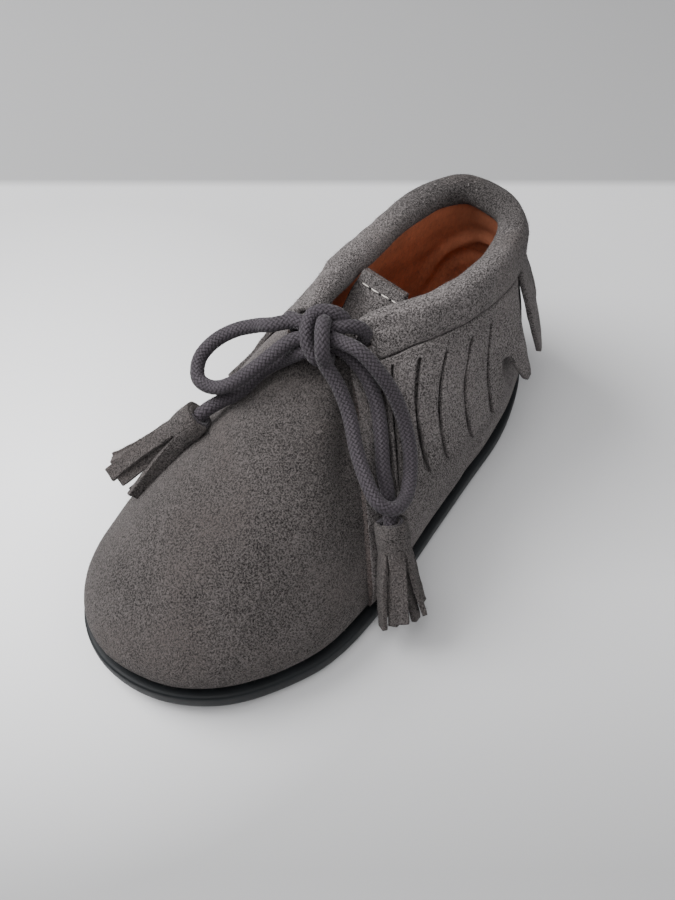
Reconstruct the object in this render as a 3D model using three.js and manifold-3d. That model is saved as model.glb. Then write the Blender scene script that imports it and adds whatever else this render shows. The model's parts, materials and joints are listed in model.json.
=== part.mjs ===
// A small child's fringe boot, the left one of a pair: a suede moccasin boot on a thin rubber sole.
// Millimetres, +Z up. The toe points to -Y and the wearer's outer side is +X.
// The origin is on the floor, under the middle of the sole's length.
import * as THREE from "three";
import { mergeVertices } from "three/addons/utils/BufferGeometryUtils.js";
import Module from "manifold-3d";

const wasm = await Module();
wasm.setup();

// The sole.
const SOLE_LENGTH = 148;
const BALL_WIDTH = 69;
const SOLE_THICKNESS = 6.4;
const SOLE_EDGE_ROUND = 2;
const SOLE_RIM = 1.7;
const TOE_SPRING = 3.8;
const TOE_SPRING_START = 0.16;

// The upper: a suede wall, with the quarters laid over the vamp.
const UPPER_WALL = 2;
const QUARTER_THICKNESS = 1.5;
const COLLAR_HEIGHT = 54;
const COLLAR_LENGTH = 62;
const COLLAR_WIDTH = 27;
const COLLAR_FROM_HEEL = 9.5;
const INSTEP_RISE = 48;
const EYELET_DIAMETER = 5;
const LACE_DIAMETER = 3.4;
const KNOT_HALF_WIDTH = 6;
const TASSEL_LENGTH = 26;
const TASSEL_HEAD_LENGTH = 7;
const TASSEL_HEAD_DIAMETER = 7.6;
const TASSEL_STRIP_WIDTH = 2.3;
const TASSEL_STRIP_THICKNESS = 1.2;
const TASSEL_STRIPS = 5;

// What is fastened to it.
const ROLL_WIDTH = 6;
const ROLL_HEIGHT = 5.8;
const ROLL_SKIN = 1.4;
const FRINGE_THICKNESS = 1.4;
const SEAM_GAP = 0.022;
const SLIT_WIDTH = 0.9;
const FLARE_EASE = 0.8;
const TAPER_EASE = 2.4;
const SWING_EASE = 3;
const TONGUE_THICKNESS = 1.4;
const INSOLE_THICKNESS = 2.4;
const HEEL_PAD_RISE = 0.8;
const HEEL_PAD_RADIUS = 13;
const HEEL_PAD_STRETCH = 1.35;
const HEEL_PAD_FROM_HEEL = 0.2;
const HEEL_RING_WIDTH = 3;
const TONGUE_CROWN = 2.4;

// Neighbouring solids stay this far apart.
const GAP = 0.3;

// How finely the curved pieces are cut into facets.
const STEPS_PER_SECTION = 3;
const STEPS_UP = 11;
const ROLL_STEPS = 33;

// The inner ring that closes the flat faces of sole and insole, as a share of their outline.
const SOLE_CORE = 0.8;

const SUEDE = new THREE.MeshStandardMaterial({ color: 0x6f6a66, roughness: 0.95, metalness: 0 });
const COLLAR_SUEDE = new THREE.MeshStandardMaterial({ color: 0x77706b, roughness: 0.95, metalness: 0 });
const LINING = new THREE.MeshStandardMaterial({ color: 0x8a4f2e, roughness: 0.6, metalness: 0 });
const RUBBER = new THREE.MeshStandardMaterial({ color: 0x2a2c33, roughness: 0.7, metalness: 0 });
const CORD = new THREE.MeshStandardMaterial({ color: 0x4b4852, roughness: 0.9, metalness: 0 });

// One row for each section of the boot, from the back of the heel over the outer side to the toe and back.
// along and across place its foot on the sole's outline, as shares of SOLE_LENGTH and BALL_WIDTH.
// back and side place its head on the collar or throat, as shares of COLLAR_LENGTH and COLLAR_WIDTH,
// and top is the head's height as a share of COLLAR_HEIGHT.
// Between them the wall is a curve that leaves the foot by bulge outwards and rise upwards
// and reaches the head from a point lean outside and drop below it, all shares of INSTEP_RISE.
const COLUMNS = ["name", "along", "across", "back", "side", "top", "bulge", "rise", "lean", "drop"];
const SECTIONS = [
  ["heel", 0, 0.0063, -0.004, 0.05, 1.075, 0.03, 0.36, 0.02, 0.34],
  ["heel_corner_out", 0.036, 0.2348, 0.034, 0.36, 1.075, 0.02, 0.36, 0.03, 0.34],
  ["heel_side_out", 0.172, 0.383, 0.21, 0.56, 1.068, 0.02, 0.36, 0.05, 0.32],
  ["waist_out", 0.311, 0.4351, 0.425, 0.595, 1.06, 0.03, 0.36, 0.09, 0.3],
  ["quarter_out", 0.459, 0.4883, 0.63, 0.485, 1.055, 0.04, 0.36, 0.14, 0.26],
  ["tab_out", 0.543, 0.5207, 0.782, 0.185, 1.06, 0.04, 0.36, 0.22, 0.22],
  ["facing_out", 0.591, 0.5374, 0.87, 0.13, 1.05, 0.03, 0.34, 0.28, 0.22],
  ["edge_out", 0.635, 0.5478, 0.943, 0.2, 1, 0.03, 0.32, 0.32, 0.22],
  ["ball_out", 0.712, 0.552, 0.952, 0.17, 0.992, 0.03, 0.34, 0.36, 0.22],
  ["small_toe", 0.79, 0.5217, 0.96, 0.145, 0.985, 0.03, 0.36, 0.4, 0.22],
  ["toe_corner_out", 0.905, 0.407, 0.97, 0.1, 0.975, 0.03, 0.4, 0.5, 0.26],
  ["toe_out", 0.979, 0.2217, 0.978, 0.07, 0.97, 0.03, 0.42, 0.56, 0.28],
  ["toe", 1, 0.0104, 0.986, 0.045, 0.966, 0.03, 0.42, 0.6, 0.28],
  ["toe_in", 0.973, -0.1722, 0.993, 0.02, 0.97, 0.05, 0.42, 0.56, 0.28],
  ["toe_corner_in", 0.905, -0.3057, 1, -0.006, 0.975, 0.06, 0.4, 0.5, 0.26],
  ["big_toe", 0.797, -0.3944, 1.01, -0.045, 0.985, 0.05, 0.36, 0.4, 0.22],
  ["ball_in", 0.705, -0.4299, 1.016, -0.07, 0.992, 0.04, 0.34, 0.36, 0.22],
  ["edge_in", 0.61, -0.4487, 1.02, -0.1, 1, 0.03, 0.32, 0.32, 0.22],
  ["facing_in", 0.566, -0.4435, 0.96, -0.2, 1.05, 0.03, 0.34, 0.28, 0.22],
  ["tab_in", 0.515, -0.433, 0.87, -0.325, 1.06, 0.04, 0.36, 0.22, 0.22],
  ["quarter_in", 0.43, -0.409, 0.69, -0.415, 1.055, 0.04, 0.36, 0.14, 0.26],
  ["waist_in", 0.3, -0.3757, 0.425, -0.444, 1.06, 0.03, 0.36, 0.09, 0.3],
  ["heel_side_in", 0.165, -0.3475, 0.21, -0.44, 1.068, 0.02, 0.36, 0.05, 0.32],
  ["heel_corner_in", 0.036, -0.2139, 0.034, -0.26, 1.075, 0.02, 0.36, 0.03, 0.34],
].map((row) => Object.fromEntries(row.map((value, i) => [COLUMNS[i], value])));
const sectionAt = (name) => SECTIONS.findIndex((row) => row.name === name);

// A column of SECTIONS as a smooth closed curve, at a place counted in rows.
function blend(column, place) {
  const count = SECTIONS.length;
  const first = Math.floor(place);
  const t = place - first;
  const [a, b, c, d] = [-1, 0, 1, 2].map((step) => SECTIONS[(first + step + count) % count][column]);
  return b + 0.5 * t * (c - a + t * (2 * a - 5 * b + 4 * c - d + t * (3 * (b - c) + d - a)));
}

// The sole's outline at a place, moved in by inset.
function outline(place, inset = 0) {
  const point = (at) => new THREE.Vector2(
    blend("across", at) * BALL_WIDTH,
    SOLE_LENGTH * (0.5 - blend("along", at)),
  );
  const step = 0.02;
  const heading = point(place + step).sub(point(place - step)).normalize();
  return point(place).add(new THREE.Vector2(-heading.y, heading.x).multiplyScalar(-inset));
}
const EDGE_OUT = sectionAt("edge_out");
const EDGE_IN = sectionAt("edge_in");
const ROUND = SECTIONS.length;
const isQuarter = (place) => place <= EDGE_OUT || place >= EDGE_IN;
const spread = (from, to, count) => (
  Array.from({ length: count + 1 }, (_, i) => from + ((to - from) * i) / count)
);

// How far the sole and all on it lift towards the toe.
function lift(y) {
  const ahead = Math.max(0, (-y / SOLE_LENGTH - TOE_SPRING_START) / (0.5 - TOE_SPRING_START));
  return TOE_SPRING * ahead * ahead;
}

// The head of the wall on the collar or the throat.
function head(place) {
  return new THREE.Vector3(
    blend("side", place) * COLLAR_WIDTH,
    SOLE_LENGTH / 2 - COLLAR_FROM_HEEL - blend("back", place) * COLLAR_LENGTH,
    blend("top", place) * COLLAR_HEIGHT,
  );
}

// A point of the vamp's outer face: place goes round the boot, up goes from the sole to the head.
function face(place, up) {
  const foot = outline(place, SOLE_RIM + QUARTER_THICKNESS / 2);
  const start = new THREE.Vector3(foot.x, foot.y, SOLE_THICKNESS + lift(foot.y) + GAP);
  const end = head(place);
  const away = new THREE.Vector3(start.x - end.x, start.y - end.y, 0).normalize();
  const reach = (column) => blend(column, place) * INSTEP_RISE;
  const low = start.clone().addScaledVector(away, reach("bulge"));
  low.z += reach("rise");
  const high = end.clone().addScaledVector(away, reach("lean"));
  high.z -= reach("drop");
  return new THREE.CubicBezierCurve3(start, low, high, end).getPoint(THREE.MathUtils.clamp(up, 0, 1));
}

// The same point moved out along the face's normal, which lies level at the sole and at the collar.
function wall(place, up, out) {
  const step = 0.02;
  const round = face(place + step, up).sub(face(place - step, up));
  const rise = face(place, Math.min(1, up + step)).sub(face(place, Math.max(0, up - step)));
  const normal = round.cross(rise).negate();
  if (up === 0 || (up === 1 && isQuarter(place))) normal.z = 0;
  return face(place, up).addScaledVector(normal.normalize(), out);
}

// A closed body from its points and faces, with its faces turned outwards.
function body(points, faces) {
  const raw = new THREE.BufferGeometry();
  raw.setAttribute("position", new THREE.Float32BufferAttribute(points.flatMap((p) => p.toArray()), 3));
  raw.setIndex(faces.flat());
  const merged = mergeVertices(raw, 1e-4);
  const at = merged.getAttribute("position");
  const corner = (i) => new THREE.Vector3().fromBufferAttribute(at, i);
  const index = [];
  let volume = 0;
  for (let i = 0; i < merged.index.count; i += 3) {
    const [a, b, c] = [0, 1, 2].map((k) => merged.index.getX(i + k));
    if (a === b || b === c || c === a) continue;
    index.push([a, b, c]);
    volume += corner(a).dot(corner(b).cross(corner(c)));
  }
  if (volume < 0) index.forEach((triangle) => triangle.reverse());
  merged.setIndex(index.flat());
  return merged;
}

// A solid between the outer and inner faces of a grid, of which kept picks the cells.
function sheet({ columns, rows, around = false, kept = () => true, outer, inner }) {
  const wide = columns.length;
  const tall = rows.length;
  const cells = around ? wide : wide - 1;
  const points = [outer, inner].flatMap((side) => (
    rows.flatMap((row) => columns.map((column) => side(column, row)))
  ));
  const faces = [];
  const id = (i, j, inside) => (inside * tall + j) * wide + (i % wide);
  const quad = (a, b, c, d) => faces.push([a, b, c], [a, c, d]);
  const has = (i, j) => {
    if (j < 0 || j >= tall - 1 || (!around && (i < 0 || i >= cells))) return false;
    return kept(columns[(i + cells) % cells], rows[j]);
  };
  for (let i = 0; i < cells; i += 1) {
    for (let j = 0; j < tall - 1; j += 1) {
      if (!has(i, j)) continue;
      quad(id(i, j, 0), id(i + 1, j, 0), id(i + 1, j + 1, 0), id(i, j + 1, 0));
      quad(id(i, j, 1), id(i, j + 1, 1), id(i + 1, j + 1, 1), id(i + 1, j, 1));
      if (!has(i, j - 1)) quad(id(i, j, 0), id(i, j, 1), id(i + 1, j, 1), id(i + 1, j, 0));
      if (!has(i, j + 1)) quad(id(i, j + 1, 0), id(i + 1, j + 1, 0), id(i + 1, j + 1, 1), id(i, j + 1, 1));
      if (!has(i - 1, j)) quad(id(i, j, 0), id(i, j + 1, 0), id(i, j + 1, 1), id(i, j, 1));
      if (!has(i + 1, j)) quad(id(i + 1, j, 0), id(i + 1, j, 1), id(i + 1, j + 1, 1), id(i + 1, j + 1, 0));
    }
  }
  return body(points, faces);
}

// A solid of rings, one on the next, whose ends are closed from side to side or round a middle point.
function stack(rings, sideToSide = false) {
  const count = rings[0].length;
  const points = rings.flat();
  const faces = [];
  rings.slice(1).forEach((ring, r) => ring.forEach((point, i) => {
    const next = (i + 1) % count;
    const [a, b, c, d] = [r * count + i, r * count + next, (r + 1) * count + next, (r + 1) * count + i];
    faces.push([a, b, c], [a, c, d]);
  }));
  for (const start of [0, (rings.length - 1) * count]) {
    const cap = [];
    if (sideToSide) {
      for (let i = 0; i < count / 2; i += 1) {
        const [a, b] = [i, i + 1];
        const [c, d] = [count - i - 1, (count - i) % count];
        cap.push([a, b, c], [a, c, d]);
      }
    } else {
      const ring = points.slice(start, start + count);
      points.push(ring.reduce((sum, p) => sum.add(p), new THREE.Vector3()).divideScalar(count));
      for (let i = 0; i < count; i += 1) cap.push([i, (i + 1) % count, points.length - 1 - start]);
    }
    faces.push(...cap.map((triangle) => {
      const placed = triangle.map((i) => i + start);
      return start === 0 ? placed.reverse() : placed;
    }));
  }
  return body(points, faces);
}

// A three.js shape as positions and faces only, with its shared corners merged.
function bare(geometry) {
  geometry.deleteAttribute("normal");
  geometry.deleteAttribute("uv");
  const merged = mergeVertices(geometry, 1e-4);
  const corners = merged.getAttribute("position");
  const points = Array.from({ length: corners.count }, (_, i) => (
    new THREE.Vector3().fromBufferAttribute(corners, i)
  ));
  const faces = Array.from({ length: merged.index.count / 3 }, (_, i) => (
    [0, 1, 2].map((k) => merged.index.getX(i * 3 + k))
  ));
  return body(points, faces);
}

const toManifold = (geometry) => new wasm.Manifold(new wasm.Mesh({
  numProp: 3,
  vertProperties: new Float32Array(geometry.getAttribute("position").array),
  triVerts: new Uint32Array(geometry.index.array),
}));

function fromManifold(manifold) {
  const mesh = manifold.getMesh();
  const geometry = new THREE.BufferGeometry();
  geometry.setAttribute("position", new THREE.Float32BufferAttribute(mesh.vertProperties, 3));
  geometry.setIndex(Array.from(mesh.triVerts));
  return geometry;
}

// The sole: rings from the middle of its underside, round its edge and back over its upper face.
function outsole() {
  const places = spread(0, ROUND, ROUND * STEPS_PER_SECTION).slice(0, -1);
  const r = SOLE_EDGE_ROUND;
  const edge = [
    { inset: r, height: 0, share: SOLE_CORE },
    { inset: r, height: 0 },
    { inset: r * 0.3, height: r * 0.3 },
    { inset: 0, height: r },
    { inset: 0, height: SOLE_THICKNESS - r * 0.3 },
    { inset: r * 0.3, height: SOLE_THICKNESS },
    { inset: r, height: SOLE_THICKNESS, share: SOLE_CORE },
  ];
  const rings = edge.map(({ inset, height, share = 1 }) => places.map((place) => {
    const p = outline(place, inset).multiplyScalar(share);
    return new THREE.Vector3(p.x, p.y, height + lift(p.y));
  }));
  return stack(rings, true);
}

// The quarter thins out where it is drawn in under the boot.
function quarterThickness(up) {
  return QUARTER_THICKNESS * (0.5 + 0.5 * THREE.MathUtils.smoothstep(up, 0, 0.2));
}

// The eyelets, placed on the quarters beside the throat.
const EYELETS = [
  { place: sectionAt("facing_out") - 0.45, up: 0.945 },
  { place: sectionAt("facing_in") + 0.25, up: 0.92 },
];

function eyeletHole({ place, up }) {
  const middle = wall(place, up, 0);
  const normal = wall(place, up, 1).sub(middle);
  const hole = new THREE.CylinderGeometry(EYELET_DIAMETER / 2, EYELET_DIAMETER / 2, UPPER_WALL * 6, 12);
  hole.applyQuaternion(new THREE.Quaternion().setFromUnitVectors(new THREE.Vector3(0, 1, 0), normal));
  hole.translate(middle.x, middle.y, middle.z);
  return toManifold(bare(hole));
}

// The upper: one wall round the foot, doubled where the quarters lie over the vamp.
function upper() {
  const columns = spread(0, ROUND, ROUND * STEPS_PER_SECTION).slice(0, -1).map((place) => (
    { place, quarter: isQuarter(place) }
  ));
  const at = (place) => columns.findIndex((column) => Math.abs(column.place - place) < 1e-6);
  columns.splice(at(EDGE_OUT) + 1, 0, { place: EDGE_OUT, quarter: false });
  columns.splice(at(EDGE_IN), 0, { place: EDGE_IN, quarter: false });
  const shell = toManifold(sheet({
    columns,
    rows: spread(0, 1, STEPS_UP),
    around: true,
    outer: ({ place, quarter }, up) => wall(place, up, quarter ? quarterThickness(up) : 0),
    inner: ({ place }, up) => wall(place, up, -UPPER_WALL),
  }));
  return fromManifold(EYELETS.reduce((left, eyelet) => left.subtract(eyeletHole(eyelet)), shell));
}

// The insole: a leather sock between the walls, with a raised ring round its heel pad.
function insole() {
  const places = spread(0, ROUND, ROUND * 2).slice(0, -1);
  const edge = SOLE_RIM + QUARTER_THICKNESS / 2 + UPPER_WALL + GAP;
  const pad = new THREE.Vector2(0, SOLE_LENGTH * (0.5 - HEEL_PAD_FROM_HEEL));
  const rings = [];
  const ring = (inset, height, share = 1) => rings.push(places.map((place) => {
    const p = outline(place, inset).multiplyScalar(share);
    return new THREE.Vector3(p.x, p.y, SOLE_THICKNESS + lift(p.y) + GAP + height);
  }));
  ring(edge, 0, SOLE_CORE);
  ring(edge, 0);
  ring(edge, INSOLE_THICKNESS * 0.6);
  ring(edge + INSOLE_THICKNESS * 0.4, INSOLE_THICKNESS);
  ring(edge, INSOLE_THICKNESS, SOLE_CORE);
  const sock = toManifold(stack(rings, true));
  const level = SOLE_THICKNESS + GAP + INSOLE_THICKNESS;
  const half = HEEL_RING_WIDTH / 2;
  const profile = [
    new THREE.Vector2(HEEL_PAD_RADIUS - half, -INSOLE_THICKNESS / 2),
    new THREE.Vector2(HEEL_PAD_RADIUS + half, -INSOLE_THICKNESS / 2),
    new THREE.Vector2(HEEL_PAD_RADIUS + half * 0.8, HEEL_PAD_RISE * 0.7),
    new THREE.Vector2(HEEL_PAD_RADIUS, HEEL_PAD_RISE),
    new THREE.Vector2(HEEL_PAD_RADIUS - half * 0.8, HEEL_PAD_RISE * 0.7),
    new THREE.Vector2(HEEL_PAD_RADIUS - half, -INSOLE_THICKNESS / 2),
  ];
  const lathe = new THREE.LatheGeometry(profile, 28);
  lathe.rotateX(Math.PI / 2);
  lathe.scale(1, HEEL_PAD_STRETCH, 1);
  lathe.translate(pad.x, pad.y, level);
  return fromManifold(sock.add(toManifold(bare(lathe))));
}

// One row for each height of the tongue, from its root under the vamp to its top above the collar.
// back is its distance behind the throat, half its half width, both shares of COLLAR_LENGTH and COLLAR_WIDTH,
// side its middle's place across as a share of COLLAR_WIDTH, and height a share of COLLAR_HEIGHT.
const TONGUE_ROWS = [
  { back: -0.11, height: 0.815, side: 0.05, half: 0.26 },
  { back: 0.05, height: 0.88, side: 0.03, half: 0.24 },
  { back: 0.17, height: 0.915, side: -0.03, half: 0.24 },
  { back: 0.25, height: 0.96, side: -0.05, half: 0.25 },
  { back: 0.3, height: 1.03, side: -0.045, half: 0.25 },
  { back: 0.325, height: 1.095, side: 0.005, half: 0.25 },
  { back: 0.34, height: 1.15, side: 0.035, half: 0.25 },
];

// The tongue: the vamp's own leather, which runs on under the knot and stands up in the mouth.
function tongue() {
  const throat = SOLE_LENGTH / 2 - COLLAR_FROM_HEEL - COLLAR_LENGTH;
  const line = new THREE.CatmullRomCurve3(TONGUE_ROWS.map(({ back, height, side }) => (
    new THREE.Vector3(side * COLLAR_WIDTH, throat + back * COLLAR_LENGTH, height * COLLAR_HEIGHT)
  )));
  const rows = spread(0, 1, (TONGUE_ROWS.length - 1) * 2);
  const half = (share) => {
    const at = share * (TONGUE_ROWS.length - 1);
    const low = Math.min(TONGUE_ROWS.length - 2, Math.floor(at));
    const width = THREE.MathUtils.lerp(TONGUE_ROWS[low].half, TONGUE_ROWS[low + 1].half, at - low);
    return width * COLLAR_WIDTH * (share === 1 ? 0.95 : 1);
  };
  const place = (across, share, out) => {
    const middle = line.getPoint(share);
    const heading = line.getTangent(share);
    const normal = new THREE.Vector3(1, 0, 0).cross(heading).normalize();
    const crown = -TONGUE_CROWN * (1 - share) * across * across;
    return middle.add(new THREE.Vector3(across * half(share), 0, 0)).addScaledVector(normal, crown + out);
  };
  return sheet({
    columns: spread(-1, 1, 6),
    rows,
    outer: (across, share) => place(across, share, 0),
    inner: (across, share) => place(across, share, -TONGUE_THICKNESS),
  });
}

// The seam where the fringe hangs from the collar: how high up the wall it lies at each place round the boot,
// counted in rows of SECTIONS from the back of the heel.
const SEAM = [
  { place: 0, up: 0.885 },
  { place: 2, up: 0.9 },
  { place: 3, up: 0.935 },
  { place: 3.9, up: 0.93 },
  { place: 5, up: 0.862 },
  { place: 7, up: 0.86 },
];
function seamUp(place) {
  const away = Math.min(Math.abs(place), Math.abs(place - ROUND));
  const next = Math.max(1, SEAM.findIndex((row) => row.place > away));
  const [low, high] = [SEAM[next - 1], SEAM[next]];
  return THREE.MathUtils.lerp(low.up, high.up, THREE.MathUtils.smoothstep(away, low.place, high.place));
}

// One row for each pair of points in the padded collar's section, from its inner lip over the top.
// out and high place the upper skin, as shares of ROLL_WIDTH from the middle of the wall and of ROLL_HEIGHT,
// and under is the lower skin's place between the wall's inner and outer face.
const ROLL_SECTION = [
  { out: -0.56, high: 0.3, under: 0 },
  { out: -0.54, high: 0.62, under: 0.2 },
  { out: -0.34, high: 0.9, under: 0.4 },
  { out: 0, high: 1, under: 0.6 },
  { out: 0.34, high: 0.88, under: 0.8 },
  { out: 0.5, high: 0.48, under: 1 },
];

// The collar's ends are flatter than the rest, which it reaches after a few rings.
const COLLAR_END_FULLNESS = 0.4;
const COLLAR_RING_GROWTH = 0.2;
const COLLAR_LIP = 0.1;
const FLAP_TOP = 0.96;
const FLAP_SWELL = 1.25;
const FLAP_ROW_DROP = 0.2;

// The padded collar: a roll on the wall's edge whose outer skin runs on down to the fringe's seam.
function collarRoll() {
  const places = spread(sectionAt("tab_out") + 0.1, sectionAt("tab_in") - 0.2 - ROUND, ROLL_STEPS);
  const rings = places.map((place, i) => {
    const fromEnd = Math.min(i, places.length - 1 - i);
    const full = Math.min(1, COLLAR_END_FULLNESS + fromEnd * COLLAR_RING_GROWTH);
    const inner = wall(place, 1, -UPPER_WALL);
    const outer = wall(place, 1, QUARTER_THICKNESS);
    const middle = inner.clone().lerp(outer, 0.5);
    const out = outer.clone().sub(inner).setZ(0).normalize();
    const above = (point, height) => point.setZ(middle.z + GAP + height);
    const lip = above(inner.clone().addScaledVector(out, -COLLAR_LIP * ROLL_WIDTH * full), 0);
    const seam = seamUp(place);
    const flap = [FLAP_TOP, (FLAP_TOP + seam) / 2, seam];
    const skin = ROLL_SKIN * (0.5 + 0.5 * full);
    const hem = QUARTER_THICKNESS + GAP;
    const upper = [
      ...ROLL_SECTION.map((row) => (
        above(middle.clone().addScaledVector(out, row.out * ROLL_WIDTH * full), row.high * ROLL_HEIGHT * full)
      )),
      ...flap.map((up, row) => wall(place, up, hem + skin * (FLAP_SWELL - FLAP_ROW_DROP * row))),
    ];
    const lower = [
      ...ROLL_SECTION.map((row) => above(inner.clone().lerp(wall(place, 1, hem), row.under), 0)),
      ...flap.map((up) => wall(place, up, hem)),
    ];
    const end = wall(place, seam - 0.01, hem + skin * 0.5);
    return [lip, ...upper, end, ...lower.reverse()];
  });
  return stack(rings, true);
}

// One row for each cut of a fringe, and for its first and last edge.
// top, middle and foot are its place round the boot there, in rows of SECTIONS from the back of the heel,
// band is how far below the fringe's top it begins, as a share of the wall,
// and uncut is the share of the strips' length that stays whole below that.
const SIDE_CUTS = [
  { top: 5.2, middle: 5.32, foot: 5.6, band: 0.03, uncut: 0 },
  { top: 4.8, middle: 5.02, foot: 5.35, band: 0.03, uncut: 0 },
  { top: 4.25, middle: 4.42, foot: 4.27, band: 0.06, uncut: 0 },
  { top: 3.75, middle: 3.95, foot: 3.85, band: 0.08, uncut: 0 },
  { top: 3.2, middle: 3.41, foot: 3.3, band: 0.09, uncut: 0 },
  { top: 2.72, middle: 2.86, foot: 2.79, band: 0.1, uncut: 0 },
  { top: 2.36, middle: 2.46, foot: 2.5, band: 0.1, uncut: 0.5 },
  { top: 1.8, middle: 1.9, foot: 1.9, band: 0.1, uncut: 0 },
];
const BACK_CUTS = [1.62, 0.97, 0.33, -0.33, -0.97, -1.62].map((place) => (
  { top: place, middle: place, foot: place, band: 0.05, uncut: 0 }
));

// One row for each strip between two cuts.
// tip is how high up the wall it ends, and taper the share of its width that it has lost there,
// swing is how far it has moved round the boot there, and flare how far it stands off in millimetres.
const SIDE_STRIPS = [
  { tip: 0.4, taper: 0.15, swing: 0, flare: 0.6 },
  { tip: 0.41, taper: 0.12, swing: 0, flare: 0.8 },
  { tip: 0.4, taper: 0.12, swing: 0, flare: 0.8 },
  { tip: 0.385, taper: 0.12, swing: 0, flare: 0.8 },
  { tip: 0.35, taper: 0.12, swing: 0, flare: 0.8 },
  { tip: 0.34, taper: 0.15, swing: 0, flare: 0.8 },
  { tip: 0.345, taper: 0.74, swing: -0.2, flare: 3.2 },
];
const BACK_STRIPS = [
  { tip: 0.22, taper: 0.7, swing: -0.05, flare: 3.6 },
  { tip: 0.3, taper: 0.7, swing: -0.05, flare: 4.4 },
  { tip: 0.24, taper: 0.7, swing: 0, flare: 3.8 },
  { tip: 0.3, taper: 0.7, swing: 0.05, flare: 4.4 },
  { tip: 0.22, taper: 0.7, swing: 0.05, flare: 3.6 },
];
const otherSideCuts = (cuts) => cuts.map((cut) => (
  { ...cut, top: -cut.top, middle: -cut.middle, foot: -cut.foot }
)).reverse();
const otherSideStrips = (strips) => strips.map((strip) => ({ ...strip, swing: -strip.swing })).reverse();

// A fringe: a band under the collar, with strips between its cuts that hang from it and end in narrowed tips.
function fringe(cuts, strips) {
  const columns = strips.flatMap((strip, i) => [0, 0.5, 1].map((across) => ({
    strip, across, from: cuts[i], to: cuts[i + 1], side: across < 0.5 ? cuts[i] : cuts[i + 1],
  })));
  const along = ({ top, middle, foot }, down) => (
    down < 0.5
      ? THREE.MathUtils.lerp(top, middle, Math.sin(down * Math.PI))
      : THREE.MathUtils.lerp(foot, middle, Math.sin(down * Math.PI))
  );
  const hang = ({ strip, across, from, to, side }, row, out) => {
    const down = Math.max(0, row);
    const [first, last] = [along(from, down), along(to, down)];
    const middle = (first + last) / 2 + strip.swing * down ** SWING_EASE;
    const place = middle + (across - 0.5) * (last - first) * (1 - strip.taper * down ** TAPER_EASE);
    const top = seamUp(place) - SEAM_GAP;
    const up = row < 0 ? top : THREE.MathUtils.lerp(top - side.band, strip.tip, down);
    const perRow = face(place + 0.05, up).distanceTo(face(place - 0.05, up)) / 0.1;
    const standOff = QUARTER_THICKNESS + GAP + strip.flare * down ** FLARE_EASE;
    const inwards = Math.sign(0.5 - across) * Math.sign(last - first);
    return wall(place + (inwards * SLIT_WIDTH) / 2 / perRow, up, standOff + out);
  };
  return sheet({
    columns,
    rows: [-1, 0, 0.25, 0.5, 0.75, 1],
    kept: ({ across, to }, row) => across < 1 || row < to.uncut,
    outer: (column, row) => hang(column, row, FRINGE_THICKNESS),
    inner: (column, row) => hang(column, row, 0),
  });
}

// A round cord along points chosen by hand.
function cord(points, step = LACE_DIAMETER * 1.5) {
  const corners = points.map((p) => (p.isVector3 ? p : new THREE.Vector3(...p)));
  const path = new THREE.CatmullRomCurve3(corners, false, "centripetal");
  const radius = LACE_DIAMETER / 2;
  const circle = new THREE.Shape(new THREE.EllipseCurve(0, 0, radius, radius).getPoints(8));
  return bare(new THREE.ExtrudeGeometry(circle, {
    steps: Math.ceil(path.getLength() / step),
    bevelEnabled: false,
    extrudePath: path,
  }));
}

// The lace's bar: from the knot down through one eyelet, over the tongue and up through the other.
function laceBar() {
  const [out, inside] = EYELETS.map(({ place, up }) => {
    const middle = wall(place, up, 0);
    const normal = wall(place, up, 1).sub(middle);
    return (off) => middle.clone().addScaledVector(normal, off);
  });
  const above = QUARTER_THICKNESS + LACE_DIAMETER / 2;
  const below = -UPPER_WALL - LACE_DIAMETER / 2;
  return cord([
    KNOT_SIDES.out, out(above), out(0), out(below), inside(below), inside(0), inside(above), KNOT_SIDES.inside,
  ], LACE_DIAMETER / 2);
}

const KNOT_MIDDLE = [0, 3.4, 60.6];
const KNOT_SIDES = {
  out: new THREE.Vector3(8.4, 6.6, 60.4),
  inside: new THREE.Vector3(-8.6, 2.6, 60),
};

// The bow's knot: a rounded lump of crossed cord.
function knot() {
  const lump = new THREE.SphereGeometry(1, 14, 8);
  lump.scale(KNOT_HALF_WIDTH, KNOT_HALF_WIDTH * 0.8, KNOT_HALF_WIDTH * 0.6);
  lump.translate(...KNOT_MIDDLE);
  return bare(lump);
}

const LOOP_OUT = [
  [6.4, 3.2, 62], [10.5, 3.9, 61.8], [15, 4.8, 58.2], [19.4, 5.8, 52], [23.3, 5.4, 45.2], [26.9, 3.4, 40],
  [29.8, 0.4, 36], [32.6, -4.4, 34.6], [33.2, -9.2, 35.8], [30.6, -11.6, 37.8], [26.2, -10.6, 40.2],
  [20, -7.4, 43.8], [14, -3.4, 48.4], [9, -1.6, 53.4], [4.8, -1.4, 57.6],
];
const END_OUT = [
  [6.9, 4.4, 57.2], [12.1, 4.5, 53.7], [16.8, 3, 48.5], [20.9, -0.1, 43.7], [24.7, -3.6, 38.9],
  [28.1, -5.8, 34.3], [30.6, -7.8, 30.6],
];
const LOOP_IN = [
  [-6.4, 0.4, 62.2], [-10.6, -2.5, 60.3], [-14.8, -3.4, 57.6], [-19.2, -6.4, 55.2], [-22.4, -10.4, 52.2],
  [-23.2, -14.8, 49.2], [-20.4, -18.2, 47], [-15.8, -17.6, 47], [-11.6, -15, 50], [-7.6, -9.4, 55.2],
  [-4.6, -3.6, 59.6],
];
const END_IN = [
  [-1.8, -2.2, 57.2], [-5.2, -3.4, 53.6], [-9.4, -7.2, 49.4], [-12, -13.1, 44.6], [-14.8, -17.1, 42.1],
  [-16.3, -20.8, 40.8],
];

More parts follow.
